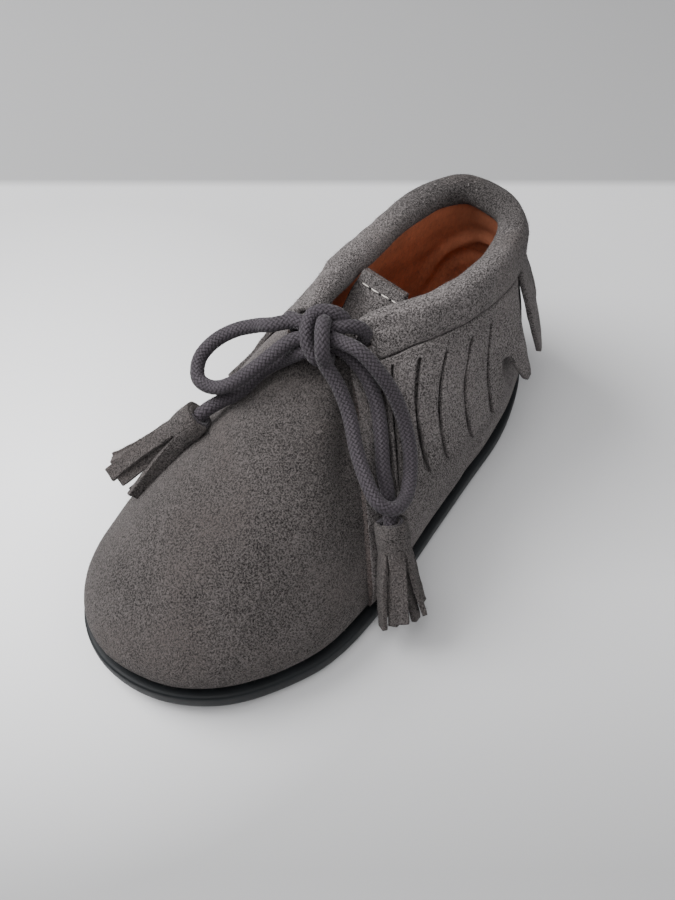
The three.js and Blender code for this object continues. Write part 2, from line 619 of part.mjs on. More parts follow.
const TASSEL_OUT = { from: [32.4, -9.6, 29.6], to: [44.6, -17.4, 8], flat: [0.86, -0.1, 0.5] };
const TASSEL_IN = { from: [-17.1, -22.1, 39.5], to: [-26.7, -38.9, 23.1], flat: [-0.7, -0.3, 0.65] };

// The rings of a tassel's head: radius as a share of its half width, along as a share of its length.
const TASSEL_HEAD_RINGS = [
  { radius: 0.72, along: 0 },
  { radius: 0.95, along: 0.217 },
  { radius: 1, along: 0.7 },
  { radius: 0.9, along: 1 },
];
const TASSEL_HEAD_FLATNESS = 0.8;
const TASSEL_STRIP_ROOT = 0.6;
const TASSEL_TIP_NARROWING = 0.35;
const TASSEL_ROOT_PITCH = 0.38;
const TASSEL_TIP_PITCH = 0.62;
const TASSEL_LAYER_OFFSET = 0.4;
const TASSEL_LAYER_SPREAD = 0.3;
const TASSEL_LAYER_SHIFT = 0.2;
const TASSEL_OUTER_SHORTER = 0.05;
const TASSEL_UNEVENNESS = 0.03;

// A tassel: a rolled suede head with strips that hang from it, side by side and a little fanned out.
function tassel({ from, to, flat }) {
  const root = new THREE.Vector3(...from);
  const axis = new THREE.Vector3(...to).sub(root).normalize();
  const side = axis.clone().cross(new THREE.Vector3(...flat)).normalize();
  const front = side.clone().cross(axis).normalize();
  const at = (across, along, out) => root.clone()
    .addScaledVector(side, across).addScaledVector(axis, along).addScaledVector(front, out);
  const r = TASSEL_HEAD_DIAMETER / 2;
  const rings = TASSEL_HEAD_RINGS.map(({ radius, along }) => (
    spread(0, Math.PI * 2, 12).slice(0, -1).map((angle) => at(
      Math.cos(angle) * radius * r,
      along * TASSEL_HEAD_LENGTH,
      Math.sin(angle) * radius * r * TASSEL_HEAD_FLATNESS,
    ))
  ));
  let solid = toManifold(stack(rings));
  for (const layer of [-1, 1]) {
    for (let i = 0; i < TASSEL_STRIPS; i += 1) {
      const spot = i - (TASSEL_STRIPS - 1) / 2 + layer * TASSEL_LAYER_SHIFT;
      const uneven = TASSEL_UNEVENNESS * Math.sin(i * 5 + layer);
      const length = TASSEL_LENGTH * (1 - TASSEL_OUTER_SHORTER * Math.abs(spot) + uneven);
      const corner = (edge, share, out) => {
        const middle = spot * (r * TASSEL_ROOT_PITCH + TASSEL_STRIP_WIDTH * TASSEL_TIP_PITCH * share);
        const width = TASSEL_STRIP_WIDTH * (1 - TASSEL_TIP_NARROWING * share ** 3);
        const along = THREE.MathUtils.lerp(TASSEL_HEAD_LENGTH * TASSEL_STRIP_ROOT, length, share);
        const off = layer * (r * TASSEL_LAYER_OFFSET + TASSEL_LAYER_SPREAD * share);
        return at(middle + edge * width, along, off + out);
      };
      solid = solid.add(toManifold(sheet({
        columns: [-0.5, 0.5],
        rows: spread(0, 1, 4),
        outer: (edge, share) => corner(edge, share, TASSEL_STRIP_THICKNESS / 2),
        inner: (edge, share) => corner(edge, share, -TASSEL_STRIP_THICKNESS / 2),
      })));
    }
  }
  return fromManifold(solid);
}

const part = new THREE.Group();

function add(name, geometry, material) {
  const mesh = new THREE.Mesh(geometry, material);
  mesh.name = name;
  part.add(mesh);
}

add("outsole", outsole(), RUBBER);
add("upper", upper(), SUEDE);
add("insole", insole(), LINING);
add("tongue", tongue(), SUEDE);
add("collar_roll", collarRoll(), COLLAR_SUEDE);
add("fringe_side_out", fringe(SIDE_CUTS, SIDE_STRIPS), SUEDE);
add("fringe_back", fringe(BACK_CUTS, BACK_STRIPS), SUEDE);
add("fringe_side_in", fringe(otherSideCuts(SIDE_CUTS), otherSideStrips(SIDE_STRIPS)), SUEDE);
add("lace_bar", laceBar(), CORD);
add("lace_knot", knot(), CORD);
add("lace_loop_out", cord(LOOP_OUT), CORD);
add("lace_loop_in", cord(LOOP_IN), CORD);
add("lace_end_out", cord(END_OUT), CORD);
add("lace_end_in", cord(END_IN), CORD);
add("tassel_out", tassel(TASSEL_OUT), SUEDE);
add("tassel_in", tassel(TASSEL_IN), SUEDE);

export default part;
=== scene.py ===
import bisect
import json
import math
import random

import bmesh
import bpy
from mathutils import Matrix, Vector, noise
from mathutils.bvhtree import BVHTree

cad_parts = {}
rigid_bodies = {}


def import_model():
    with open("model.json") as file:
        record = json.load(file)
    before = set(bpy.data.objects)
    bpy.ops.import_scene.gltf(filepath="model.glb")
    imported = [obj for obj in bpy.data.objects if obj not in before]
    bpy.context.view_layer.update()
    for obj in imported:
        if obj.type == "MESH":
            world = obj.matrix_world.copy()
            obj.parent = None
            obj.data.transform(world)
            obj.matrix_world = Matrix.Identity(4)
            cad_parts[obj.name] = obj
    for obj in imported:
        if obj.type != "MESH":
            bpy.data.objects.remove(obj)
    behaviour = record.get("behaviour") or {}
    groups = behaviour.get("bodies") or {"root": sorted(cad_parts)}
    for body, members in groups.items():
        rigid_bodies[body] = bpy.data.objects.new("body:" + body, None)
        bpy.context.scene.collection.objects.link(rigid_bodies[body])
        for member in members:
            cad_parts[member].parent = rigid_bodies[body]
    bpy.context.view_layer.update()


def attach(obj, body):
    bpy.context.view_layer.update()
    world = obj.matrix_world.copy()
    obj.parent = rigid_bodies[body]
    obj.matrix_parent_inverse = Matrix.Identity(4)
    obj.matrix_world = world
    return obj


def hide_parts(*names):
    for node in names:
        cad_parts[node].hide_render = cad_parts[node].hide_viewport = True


# A child's fringe boot in grey suede: one-piece vamp, fringed quarters, padded collar, rust leather lining,
# thin rubber sole and a braided lace whose two ends carry suede tassels. Sizes are in metres.

bl_info = {
    "name": "Fringe boot",
    "version": (1, 0, 0),
    "blender": (4, 5, 0),
    "location": "3D View > Sidebar > Fringe boot",
    "description": "Dresses the fringe boot's frame in suede, leather, cord and rubber",
    "category": "Object",
}

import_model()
MM = 0.001


def mm(points):
    """Points given in millimetres, as vectors in metres."""
    return [Vector(point) * MM for point in points]


# The lace's routes, as in the part's source, each led into the knot and the tassel's head.
LOOP_OUT = mm([
    (3.2, 2.6, 61.6), (6.4, 3.2, 62), (10.5, 3.9, 61.8), (15, 4.8, 58.2), (19.4, 5.8, 52),
    (23.3, 5.4, 45.2), (26.9, 3.4, 40), (29.8, 0.4, 36), (32.6, -4.4, 34.6), (33.2, -9.2, 35.8),
    (30.6, -11.6, 37.8), (26.2, -10.6, 40.2), (20, -7.4, 43.8), (14, -3.4, 48.4), (9, -1.6, 53.4),
    (4.8, -1.4, 57.6), (2.2, 0.2, 59.6),
])
LOOP_IN = mm([
    (-3, 1.6, 62), (-6.4, 0.4, 62.2), (-10.6, -2.5, 60.3), (-14.8, -3.4, 57.6),
    (-19.2, -6.4, 55.2), (-22.4, -10.4, 52.2), (-23.2, -14.8, 49.2), (-20.4, -18.2, 47),
    (-15.8, -17.6, 47), (-11.6, -15, 50), (-7.6, -9.4, 55.2), (-4.6, -3.6, 59.6),
    (-2.2, -0.4, 60.6),
])
END_OUT = mm([
    (3.6, 3.4, 58.8), (6.9, 4.4, 57.2), (12.1, 4.5, 53.7), (16.8, 3, 48.5), (20.9, -0.1, 43.7),
    (24.7, -3.6, 38.9), (28.1, -5.8, 34.3), (30.6, -7.8, 30.6), (33.6, -10.3, 27.4),
    (34.7, -11.1, 25.6),
])
END_IN = mm([
    (0.8, -0.4, 58.4), (-1.8, -2.2, 57.2), (-5.2, -3.4, 53.6), (-9.4, -7.2, 49.4),
    (-12, -13.1, 44.6), (-14.8, -17.1, 42.1), (-16.3, -20.8, 40.8), (-18.3, -24.2, 37.4),
    (-19.2, -25.8, 35.9),
])
KNOT_WRAP = mm([
    (-2.6, 5.6, 59.4), (-1.2, 4.9, 62), (0.2, 3.2, 64.2), (1.9, 0.9, 64.7), (3.5, -0.9, 63.6),
    (4.5, -1.9, 61.2), (4.8, -1.4, 58.4), (3.8, 0.4, 56.6), (2.4, 2.4, 56.4),
])
KNOT_ARCH = mm([
    (3.6, 0.4, 56.6), (2.2, -1.5, 57.6), (0.3, -1.5, 59.2), (-1.4, -0.8, 61), (-2.9, 1.1, 62.6),
    (-3.6, 3.6, 63.6), (-2.5, 5.9, 63.9), (-0.4, 7.8, 63.2), (1.2, 8.8, 61.6), (2, 8.6, 59.6),
])
BAR = mm([
    (-0.6, 4.4, 60.4), (1.2, 6.2, 61), (3, 8.2, 61), (4.6, 10.2, 60), (5.6, 11.4, 58),
    (5.6, 11.8, 56), (4.8, 11.8, 54), (3.4, 11.2, 52), (0.4, 9, 51), (-4.4, 6.2, 51),
    (-6.9, 5.2, 52.2), (-8.8, 4.4, 54.2), (-10, 3.4, 56.6), (-9.6, 2.4, 59.2), (-7, 2, 60.6),
    (-3.6, 2.4, 61),
])
TASSEL_OUT = mm([(32.4, -9.6, 29.6), (44.6, -17.4, 8)])
TASSEL_OUT_FLAT = Vector((0.86, -0.1, 0.5))
TASSEL_IN = mm([(-17.1, -22.1, 39.5), (-26.7, -38.9, 23.1)])
TASSEL_IN_FLAT = Vector((-0.7, -0.3, 0.65))


class BootSuede(bpy.types.PropertyGroup):
    """Sizes and colours of the suede and the lining."""

    vamp_colour: bpy.props.FloatVectorProperty(
        name="Vamp colour", description="Suede of the one-piece front",
        default=(0.046, 0.041, 0.04), min=0, max=1, subtype="COLOR")
    quarter_colour: bpy.props.FloatVectorProperty(
        name="Quarter colour", description="Suede of the quarters, the collar and the fringe",
        default=(0.086, 0.078, 0.077), min=0, max=1, subtype="COLOR")
    tassel_colour: bpy.props.FloatVectorProperty(
        name="Tassel colour", description="Suede of the tassels",
        default=(0.046, 0.041, 0.04), min=0, max=1, subtype="COLOR")
    lining_colour: bpy.props.FloatVectorProperty(
        name="Lining colour", description="Rust leather inside the boot",
        default=(0.6, 0.222, 0.12), min=0, max=1, subtype="COLOR")
    nap: bpy.props.FloatProperty(
        name="Nap", description="Size of one tuft of the suede's nap", default=0.4 * MM, unit="LENGTH")
    fibre: bpy.props.FloatProperty(
        name="Fibre", description="Length of a loose fibre at an edge", default=0.7 * MM, unit="LENGTH")


class BootLace(bpy.types.PropertyGroup):
    """Size and colour of the braided lace."""

    diameter: bpy.props.FloatProperty(
        name="Diameter", description="Thickness of the lace", default=3.4 * MM, unit="LENGTH")
    relief: bpy.props.FloatProperty(
        name="Relief", description="Height of the braid's strands", default=0.13 * MM, unit="LENGTH")
    strands: bpy.props.IntProperty(
        name="Strands", description="Strands that turn each way round the lace", default=9, min=3)
    colour: bpy.props.FloatVectorProperty(
        name="Lace colour", description="Waxed yarn of the lace",
        default=(0.0165, 0.0138, 0.0165), min=0, max=1, subtype="COLOR")


class BootSole(bpy.types.PropertyGroup):
    """Colour of the rubber sole."""

    colour: bpy.props.FloatVectorProperty(
        name="Sole colour", description="Blue-black rubber",
        default=(0.004, 0.005, 0.006), min=0, max=1, subtype="COLOR")


class BootStage(bpy.types.PropertyGroup):
    """The floor and the lights that the boot is shown in."""

    floor_colour: bpy.props.FloatVectorProperty(
        name="Floor colour", description="Plain pale floor",
        default=(0.75, 0.75, 0.76), min=0, max=1, subtype="COLOR")
    key_power: bpy.props.FloatProperty(
        name="Key power", description="Power of the soft light above", default=9, unit="POWER")


# Shader building blocks.


class Value:
    """A shader socket whose arithmetic adds Math nodes."""

    def __init__(self, surface, socket):
        self.surface = surface
        self.socket = socket

    def math(self, operation, *others):
        inputs = dict(enumerate((self, *others)))
        return self.surface.node("ShaderNodeMath", {"operation": operation}, inputs)

    def __add__(self, other):
        return self.math("ADD", other)

    def __sub__(self, other):
        return self.math("SUBTRACT", other)

    def __mul__(self, other):
        return self.math("MULTIPLY", other)

    def __truediv__(self, other):
        return self.math("DIVIDE", other)

    def __rsub__(self, other):
        return self.surface.node("ShaderNodeMath", {"operation": "SUBTRACT"}, {0: other, 1: self})

    __rmul__ = __mul__


class Surface:
    """A material whose nodes all come from one method."""

    def __init__(self, name):
        self.material = bpy.data.materials.new(name)
        self.material.use_nodes = True
        self.tree = self.material.node_tree
        self.tree.nodes.clear()

    def node(self, kind, settings=None, inputs=None, output=0):
        """A new node with its settings, its socket values or links, and the output that is wanted."""
        node = self.tree.nodes.new(kind)
        for key, setting in (settings or {}).items():
            if key == "stops":
                ramp = node.color_ramp
                while len(ramp.elements) < len(setting):
                    ramp.elements.new(0.5)
                for element, (position, level) in zip(ramp.elements, setting):
                    element.position = position
                    element.color = (level, level, level, 1)
            else:
                setattr(node, key, setting)
        for key, value in (inputs or {}).items():
            if isinstance(value, Value):
                self.tree.links.new(value.socket, node.inputs[key])
            else:
                node.inputs[key].default_value = value
        return Value(self, node.outputs[output]) if node.outputs else None

    def place(self):
        return self.node("ShaderNodeTexCoord", output="Object")

    def part(self, vector, axis):
        return self.node("ShaderNodeSeparateXYZ", {}, {0: vector}, output=axis)

    def distance(self, spot):
        """How far a point of the surface is from a spot, in metres."""
        inputs = {0: self.place(), 1: spot}
        return self.node("ShaderNodeVectorMath", {"operation": "DISTANCE"}, inputs, output=1)

    def noise(self, place, size, detail, roughness, stretch=(1, 1, 1)):
        """Noise from 0 to 1 whose spots have about the given size."""
        inputs = {
            "Vector": self.node("ShaderNodeMapping", {}, {"Vector": place, "Scale": stretch}),
            "Scale": 1 / size, "Detail": detail, "Roughness": roughness,
        }
        return self.node("ShaderNodeTexNoise", {}, inputs)

    def ramp(self, value, *stops):
        """A grey level that follows a value through stops of (position, level)."""
        return self.node("ShaderNodeValToRGB", {"stops": stops}, {0: value})

    def mix(self, share, first, second):
        settings = {"data_type": "RGBA", "clamp_factor": True}
        return self.node("ShaderNodeMix", settings, {0: share, 6: first, 7: second}, output=2)

    def bump(self, height, distance, strength):
        sockets = {"Height": height, "Distance": distance, "Strength": strength}
        return self.node("ShaderNodeBump", {}, sockets)

    def shadow(self, spots):
        """How much of the light is left: less near each spot of (place in metres, reach, share left)."""
        left_over = 1.0
        for spot, reach, left in spots:
            far = self.ramp(self.distance(spot) / reach, (0, 0), (1, 1))
            left_over = left_over * (far * (1 - left) + left)
        return left_over

    def finish(self, inputs):
        shader = self.node("ShaderNodeBsdfPrincipled", {}, inputs)
        self.node("ShaderNodeOutputMaterial", {}, {"Surface": shader})
        return self.material


def colour(rgb, factor=1.0):
    """A colour made lighter or darker, with its alpha."""
    return (*(min(1.0, channel * factor) for channel in rgb), 1.0)


def suede(name, base, nap, shadows=()):
    """Brushed suede: tufts of nap, strokes where a hand has passed, brown patches, lint, and painted shade
    near given spots.
    """
    s = Surface(name)
    place = s.place()
    tufts = s.ramp(s.noise(place, nap, detail=1, roughness=0.6), (0.38, 0), (0.62, 1))
    hairs = s.noise(place, nap * 0.55, detail=1, roughness=0.6, stretch=(1, 0.5, 1))
    hairs = s.ramp(hairs, (0.36, 0), (0.64, 1))
    patches = s.noise(place, 22 * MM, detail=3, roughness=0.55)
    strokes = s.noise(place, 6 * MM, detail=3, roughness=0.6, stretch=(1, 0.4, 1))
    strokes = s.ramp(strokes, (0.25, 0), (0.75, 1))
    lint = s.ramp(s.noise(place, 0.9 * MM, detail=0, roughness=0.3), (0.74, 0), (0.78, 1))
    tone = tufts * 0.55 + hairs * 0.3 + strokes * 0.15 + (patches - 0.5) * 0.5
    # The shadow spots darken the colour here: painted shade.
    shade = s.mix(tone * s.shadow(shadows), colour(base, 0.05), colour(base, 2.75))
    brown = (base[0] * 1.15, base[1] * 0.96, base[2] * 0.86)
    warm = s.mix(s.ramp(patches, (0.5, 0), (0.7, 0.45)) * tufts, shade, colour(brown))
    linted = s.mix(lint * 0.35, warm, colour(base, 3.2))
    normal = s.bump(tufts * 0.6 + hairs * 0.4, 0.34 * MM, 1.0)
    return s.finish({
        "Base Color": linted, "Roughness": 0.95, "Specular IOR Level": 0.08, "Sheen Weight": 0.12,
        "Sheen Roughness": 0.5, "Sheen Tint": colour((0.8, 0.76, 0.74)), "Normal": normal,
    })


def leather(name, base, shadows=()):
    """Soft rust leather with a short brushed grain, and painted shade that makes it darker in its hollows.
    """
    s = Surface(name)
    place = s.place()
    grain = s.noise(place, 0.7 * MM, detail=4, roughness=0.6, stretch=(1, 1, 0.35))
    patches = s.noise(place, 10 * MM, detail=3, roughness=0.5)
    tone = grain * 0.6 + patches * 0.7 - 0.2
    # The shadow spots darken the colour here: painted shade.
    shade = s.mix(tone * s.shadow(shadows), colour(base, 0.3), colour(base, 1.6))
    pebbles = s.noise(place, 1.5 * MM, detail=2, roughness=0.5)
    normal = s.bump(grain * 0.5 + pebbles * 0.5, 0.35 * MM, 0.7)
    return s.finish({
        "Base Color": shade, "Roughness": s.ramp(grain, (0, 0.5), (1, 0.72)), "Specular IOR Level": 0.3,
        "Normal": normal,
    })


def rubber(name, base):
    """Matt rubber with moulding grain and dust."""
    s = Surface(name)
    place = s.place()
    grain = s.noise(place, 0.35 * MM, detail=2, roughness=0.5)
    dust = s.noise(place, 7 * MM, detail=5, roughness=0.65)
    shade = s.mix(s.ramp(dust, (0.42, 0), (0.75, 0.6)), colour(base), colour(base, 2.4))
    normal = s.bump(grain, 0.06 * MM, 0.4)
    return s.finish({
        "Base Color": shade, "Roughness": s.ramp(dust, (0.3, 0.45), (0.8, 0.65)), "Specular IOR Level": 0.2,
        "Normal": normal,
    })


STRAND_CURVE = 0.7
STRAND_LEVEL = 0.7


def braid(name, base, strands):
    """Round braid on the cord's own UV map: u runs once round it, v along it in turns of its girth."""
    s = Surface(name)
    uv = s.node("ShaderNodeUVMap", {"uv_map": "UVMap"}, {})
    around = s.part(uv, 0)
    along = s.part(uv, 1)
    first = (around + along) * strands
    second = (around - along) * strands
    parity = (first.math("FLOOR") + second.math("FLOOR")) * 0.5
    upper = parity.math("FRACT") * 2
    over = (second.math("FRACT") * math.pi).math("SINE")
    under = (first.math("FRACT") * math.pi).math("SINE")
    height = over.math("POWER", STRAND_CURVE) * upper + under.math("POWER", STRAND_CURVE) * (1 - upper)
    fray = s.noise(s.place(), 0.22 * MM, detail=3, roughness=0.6)
    wear_and_shade = s.noise(s.place(), 5 * MM, detail=3, roughness=0.5)
    # The strands' height paints the gaps between them darker and their crowns lighter: painted shade and
    # painted highlight.
    tone = height * 0.95 + fray * 0.8 + wear_and_shade * 0.3 - 0.62
    shade = s.mix(tone, colour(base, 0.15), colour(base, 3.3))
    normal = s.bump(height * 0.8 + fray * 0.2, 0.22 * MM, 0.8)
    return s.finish({
        "Base Color": shade, "Roughness": 0.7, "Specular IOR Level": 0.25, "Sheen Weight": 0.12,
        "Sheen Roughness": 0.4, "Normal": normal,
    })


def thread(name, base):
    """Sewing thread."""
    s = Surface(name)
    twist = s.noise(s.place(), 0.2 * MM, detail=2, roughness=0.5)
    shade = s.mix(twist, colour(base, 0.7), colour(base, 1.2))
    return s.finish({"Base Color": shade, "Roughness": 0.6, "Normal": s.bump(twist, 0.05 * MM, 0.5)})


def made(name, maker, *values):
    """A material, made once."""
    return bpy.data.materials.get(name) or maker(name, *values)


# Painted shade: places painted darker where shade falls, in hollows and under the collar; each one's place
# in metres, its reach, and the share of the colour left there.
VAMP_SHADOWS = [
    ((0.017, -0.007, 0.043), 17 * MM, 0.45), ((0.010, 0.002, 0.052), 12 * MM, 0.6),
    ((0.027, -0.016, 0.03), 13 * MM, 0.6),
]
QUARTER_SHADOWS = [((-0.004, 0.068, 0.07), 36 * MM, 0.1)]
LINING_SHADOWS = [
    ((0.004, 0.068, 0.055), 24 * MM, 0.05), ((0.013, 0.06, 0.044), 26 * MM, 0.15),
    ((-0.012, 0.02, 0.05), 18 * MM, 0.1),
]
CUT_GREY = 0.42
CUT_RUST = 0.015
INSOLE_SHADE = 0.46
FIBRE_SHADE = 1.1
PALE_THREAD = (0.6, 0.56, 0.52)
# Painted shade: the colour of the dark stubs that stand for the stitch holes.
HOLE_SHADOW = (0.004, 0.003, 0.003)


def vamp_suede(scene):
    group = scene.boot_suede
    return made("vamp_suede", suede, group.vamp_colour, group.nap, VAMP_SHADOWS)


def quarter_suede(scene):
    group = scene.boot_suede
    return made("quarter_suede", suede, group.quarter_colour, group.nap, QUARTER_SHADOWS)


def tassel_suede(scene):
    return made("tassel_suede", suede, scene.boot_suede.tassel_colour, scene.boot_suede.nap)


def cut_suede(scene):
    """The cut edges, where the rust colour of the lining side shows in the grey."""
    group = scene.boot_suede
    pairs = zip(group.quarter_colour, group.lining_colour)
    edge = [CUT_GREY * grey + CUT_RUST * rust for grey, rust in pairs]
    return made("cut_suede", suede, edge, group.nap)


def rust_leather(scene):
    return made("rust_leather", leather, scene.boot_suede.lining_colour, LINING_SHADOWS)


def insole_leather(scene):
    # The insole's leather is the lining's colour made darker as painted shade deep inside the boot.
    wear_and_shade = [INSOLE_SHADE * channel for channel in scene.boot_suede.lining_colour]
    return made("insole_leather", leather, wear_and_shade)


def loose_fibre(scene):
    pale = [FIBRE_SHADE * channel for channel in scene.boot_suede.quarter_colour]
    return made("loose_fibre", thread, pale)


def lace_yarn(scene):
    return made("lace_yarn", braid, scene.boot_lace.colour, scene.boot_lace.strands)


# Mesh building blocks.

MERGE_WITHIN = 0.004 * MM
SLIVER_WITHIN = 0.02 * MM
PATCH_EDGE = math.radians(48)
SHARP_EDGE = math.radians(42)
SUBDIVISIONS = 2


def clear_selection():
    if bpy.context.object and bpy.context.object.mode != "OBJECT":
        bpy.ops.object.mode_set(mode="OBJECT")
    bpy.ops.object.select_all(action="DESELECT")


def activate(piece):
    clear_selection()
    piece.select_set(True)
    bpy.context.view_layer.objects.active = piece


def new_piece(name, mesh):
    piece = bpy.data.objects.new(name, mesh)
    bpy.context.scene.collection.objects.link(piece)
    return piece


def apply_modifier(piece, kind, **settings):
    activate(piece)
    modifier = piece.modifiers.new(kind.title(), kind)
    for key, setting in settings.items():
        setattr(modifier, key, setting)
    bpy.ops.object.modifier_apply(modifier=modifier.name)


def copy_of(node, name):
    """A piece whose mesh is a CAD node's, with doubled points merged and triangles joined to quads."""
    solids = (thing for thing in bpy.context.scene.objects if thing.type == "MESH")
    mesh = next(thing for thing in solids if thing.name == node).data.copy()
    mesh.name = name
    shape = bmesh.new()
    shape.from_mesh(mesh)
    bmesh.ops.remove_doubles(shape, verts=shape.verts, dist=MERGE_WITHIN)
    bmesh.ops.dissolve_degenerate(shape, dist=SLIVER_WITHIN, edges=shape.edges)
    bmesh.ops.join_triangles(
        shape, faces=shape.faces, angle_face_threshold=0.7, angle_shape_threshold=0.9)
    shape.to_mesh(mesh)
    shape.free()
    mesh.materials.clear()
    return new_piece(name, mesh)


def paint_patches(piece, seeds, materials):
    """Paints the patch between sharp edges nearest to each seed; other faces get the last material."""
    shape = bmesh.new()
    shape.from_mesh(piece.data)
    shape.faces.ensure_lookup_table()
    tree = BVHTree.FromBMesh(shape)
    for material in materials:
        piece.data.materials.append(material)
    painted = {}
    for point, index in seeds:
        start = shape.faces[tree.find_nearest(Vector(point) * MM)[2]]
        if start in painted:
            continue
        front = [start]
        painted[start] = index
        while front:
            face = front.pop()
            for edge in face.edges:
                if edge.calc_face_angle(math.pi) > PATCH_EDGE:
                    continue
                for other in edge.link_faces:
                    if other not in painted:
                        painted[other] = index
                        front.append(other)
    for face in shape.faces:
        face.material_index = painted.get(face, len(materials) - 1)
    shape.to_mesh(piece.data)
    shape.free()


def soften(piece, crease):
    """Rounds a faceted piece by subdivision and keeps its sharp edges to a share."""
    shape = bmesh.new()
    shape.from_mesh(piece.data)
    marks = shape.edges.layers.float.new("crease_edge")
    for edge in shape.edges:
        edge[marks] = crease if edge.calc_face_angle(0) > SHARP_EDGE else 0.0
    shape.to_mesh(piece.data)
    shape.free()
    apply_modifier(piece, "SUBSURF", levels=SUBDIVISIONS, render_levels=SUBDIVISIONS)
    activate(piece)
    bpy.ops.object.shade_smooth()


def points_of(piece, painted=None):
    """The points of a piece, or only those of the faces painted with some of its materials."""
    mesh = piece.data
    if painted is None:
        return list(mesh.vertices)
    faces = (face for face in mesh.polygons if face.material_index in painted)
    return [mesh.vertices[index] for index in sorted({index for face in faces for index in face.vertices})]


def shift(piece, points, moves):
    for vertex, move in zip(points, moves):
        vertex.co += move
    piece.data.update()


def share_of(value):
    """A number held between 0 and 1."""
    return max(0.0, min(1.0, value))


def nearest_on(line, point):
    """The gap from a point to a line of points, and the share of the way along it."""
    best = (math.inf, 0.0)
    for index, (a, b) in enumerate(zip(line, line[1:])):
        run = b - a
        t = share_of((point - a).dot(run) / run.length_squared)
        gap = (a + run * t - point).length
        if gap < best[0]:
            best = (gap, (index + t) / (len(line) - 1))
    return best


def bell(gap, width):
    """A weight that is 1 at no gap and fades softly over a width."""
    return math.exp(-((gap / width) ** 2))


def settle(piece, amount, size, creases=(), painted=None):
    """Moves points along their normals: slow unevenness, and creases with a soft ridge on each side."""
    marked = []
    for line, depth, width in creases:
        middle = sum(line, Vector()) / len(line)
        reach = max((point - middle).length for point in line) + 4 * width
        marked.append((line, depth, width, middle, reach))
    moves = []
    points = points_of(piece, painted)
    for vertex in points:
        point = vertex.co
        move = amount * noise.noise(point / size)
        for line, depth, width, middle, reach in marked:
            if (point - middle).length > reach:
                continue
            gap, share = nearest_on(line, point)
            ends = min(1.0, 4 * share, 4 * (1 - share))
            move -= depth * ends * bell(gap, width)
            move += 0.35 * depth * ends * bell(gap - 2 * width, width)
        moves.append(vertex.normal * move)
    shift(piece, points, moves)


def swell(piece, amount):
    """Moves a piece's skin outwards, for what the rounding has taken off it."""
    points = points_of(piece)
    shift(piece, points, [vertex.normal * amount for vertex in points])


# The sole's line, as in the part's source, and the suede's bulge over it.
SOLE_LENGTH = 148 * MM
SOLE_THICKNESS = 6.4 * MM
TOE_SPRING = 3.8 * MM
SPRING_START = 0.16
SPRING_RUN = 0.34
BULGE = 0.6 * MM
TOE_BULGE = 1.6 * MM
BULGE_HEIGHT = 6 * MM
BULGE_WIDTH = 8 * MM
BULGE_START = 4 * MM
TOE_FROM = 5 * MM
TOE_RUN = 35 * MM
STAND_OFF_FROM = 48 * MM
STAND_OFF_RUN = 20 * MM


def fill_out_foot(piece, painted):
    """Lets the suede bulge just above the sole's rim, most at the toe."""
    points = points_of(piece, painted)
    moves = []
    for vertex in points:
        ahead = max(0.0, (-vertex.co.y / SOLE_LENGTH - SPRING_START) / SPRING_RUN)
        above = vertex.co.z - SOLE_THICKNESS - TOE_SPRING * ahead * ahead
        toe = share_of((-vertex.co.y - TOE_FROM) / TOE_RUN)
        rise = share_of(above / BULGE_START)
        out = (BULGE + TOE_BULGE * toe) * rise * bell(above - BULGE_HEIGHT, BULGE_WIDTH)
        moves.append(Vector((vertex.normal.x, vertex.normal.y, 0)) * out)
    shift(piece, points, moves)


def stand_off(piece, amount):
    """Lets the strips of a side fringe stand away from the quarter towards their tips."""
    points = points_of(piece)
    moves = []
    for vertex in points:
        down = share_of((STAND_OFF_FROM - vertex.co.z) / STAND_OFF_RUN)
        moves.append(Vector((math.copysign(1, vertex.co.x), 0, 0.3)) * amount * down * down)
    shift(piece, points, moves)


def pull(piece, place, reach, move):
    """Draws the points near a place along by a move, both in millimetres; it fades over the reach."""
    points = points_of(piece)
    fades = [bell((vertex.co - Vector(place) * MM).length, reach) for vertex in points]
    shift(piece, points, [Vector(move) * MM * fade for fade in fades])


FIBRE_RADIUS = 0.025 * MM
FIBRE_ROOT = 0.05 * MM
FIBRE_SIDES = (0, 2.1, 4.2)


def fuzz(scene, name, sources, count, seed):
    """Loose fibres that stand out of the suede: slim three-sided spikes, seeded."""
    random.seed(seed)
    triangles = []
    reach = []
    total = 0.0
    for source in sources:
        mesh = source.data
        mesh.calc_loop_triangles()
        for triangle in mesh.loop_triangles:
            total += triangle.area
            reach.append(total)
            triangles.append((mesh, triangle))
    points = []
    faces = []
    for _ in range(count):
        mesh, triangle = triangles[bisect.bisect(reach, random.random() * total)]
        a, b, c = (mesh.vertices[index].co for index in triangle.vertices)
        u, v = sorted((random.random(), random.random()))
        foot = a * u + b * (v - u) + c * (1 - v)
        normal = triangle.normal
        lean = Vector((random.uniform(-1, 1), random.uniform(-1, 1), random.uniform(-1, 1)))
        grow = (normal * 0.8 + lean * 0.75).normalized()
        side = grow.orthogonal().normalized()
        other = grow.cross(side)
        first = len(points)
        for angle in FIBRE_SIDES:
            rim = FIBRE_RADIUS * (math.cos(angle) * side + math.sin(angle) * other)
            points.append(foot - normal * FIBRE_ROOT + rim)
        points.append(foot + grow * scene.boot_suede.fibre * random.uniform(0.4, 1.2))
        for face in ((0, 1, 3), (1, 2, 3), (2, 0, 3), (0, 2, 1)):
            faces.append([first + index for index in face])
    mesh = bpy.data.meshes.new(name)
    mesh.from_pydata(points, [], faces)
    mesh.materials.append(loose_fibre(scene))
    dress(new_piece(name, mesh), "suede")


# Where a stitch is cut into lengths, how deep its ends dip and how high it lies, as shares of its size.
STITCH_CUTS = (-0.3, -0.1, 0.1, 0.3)
STITCH_DIP = 1.3
STITCH_LIFT = 0.35


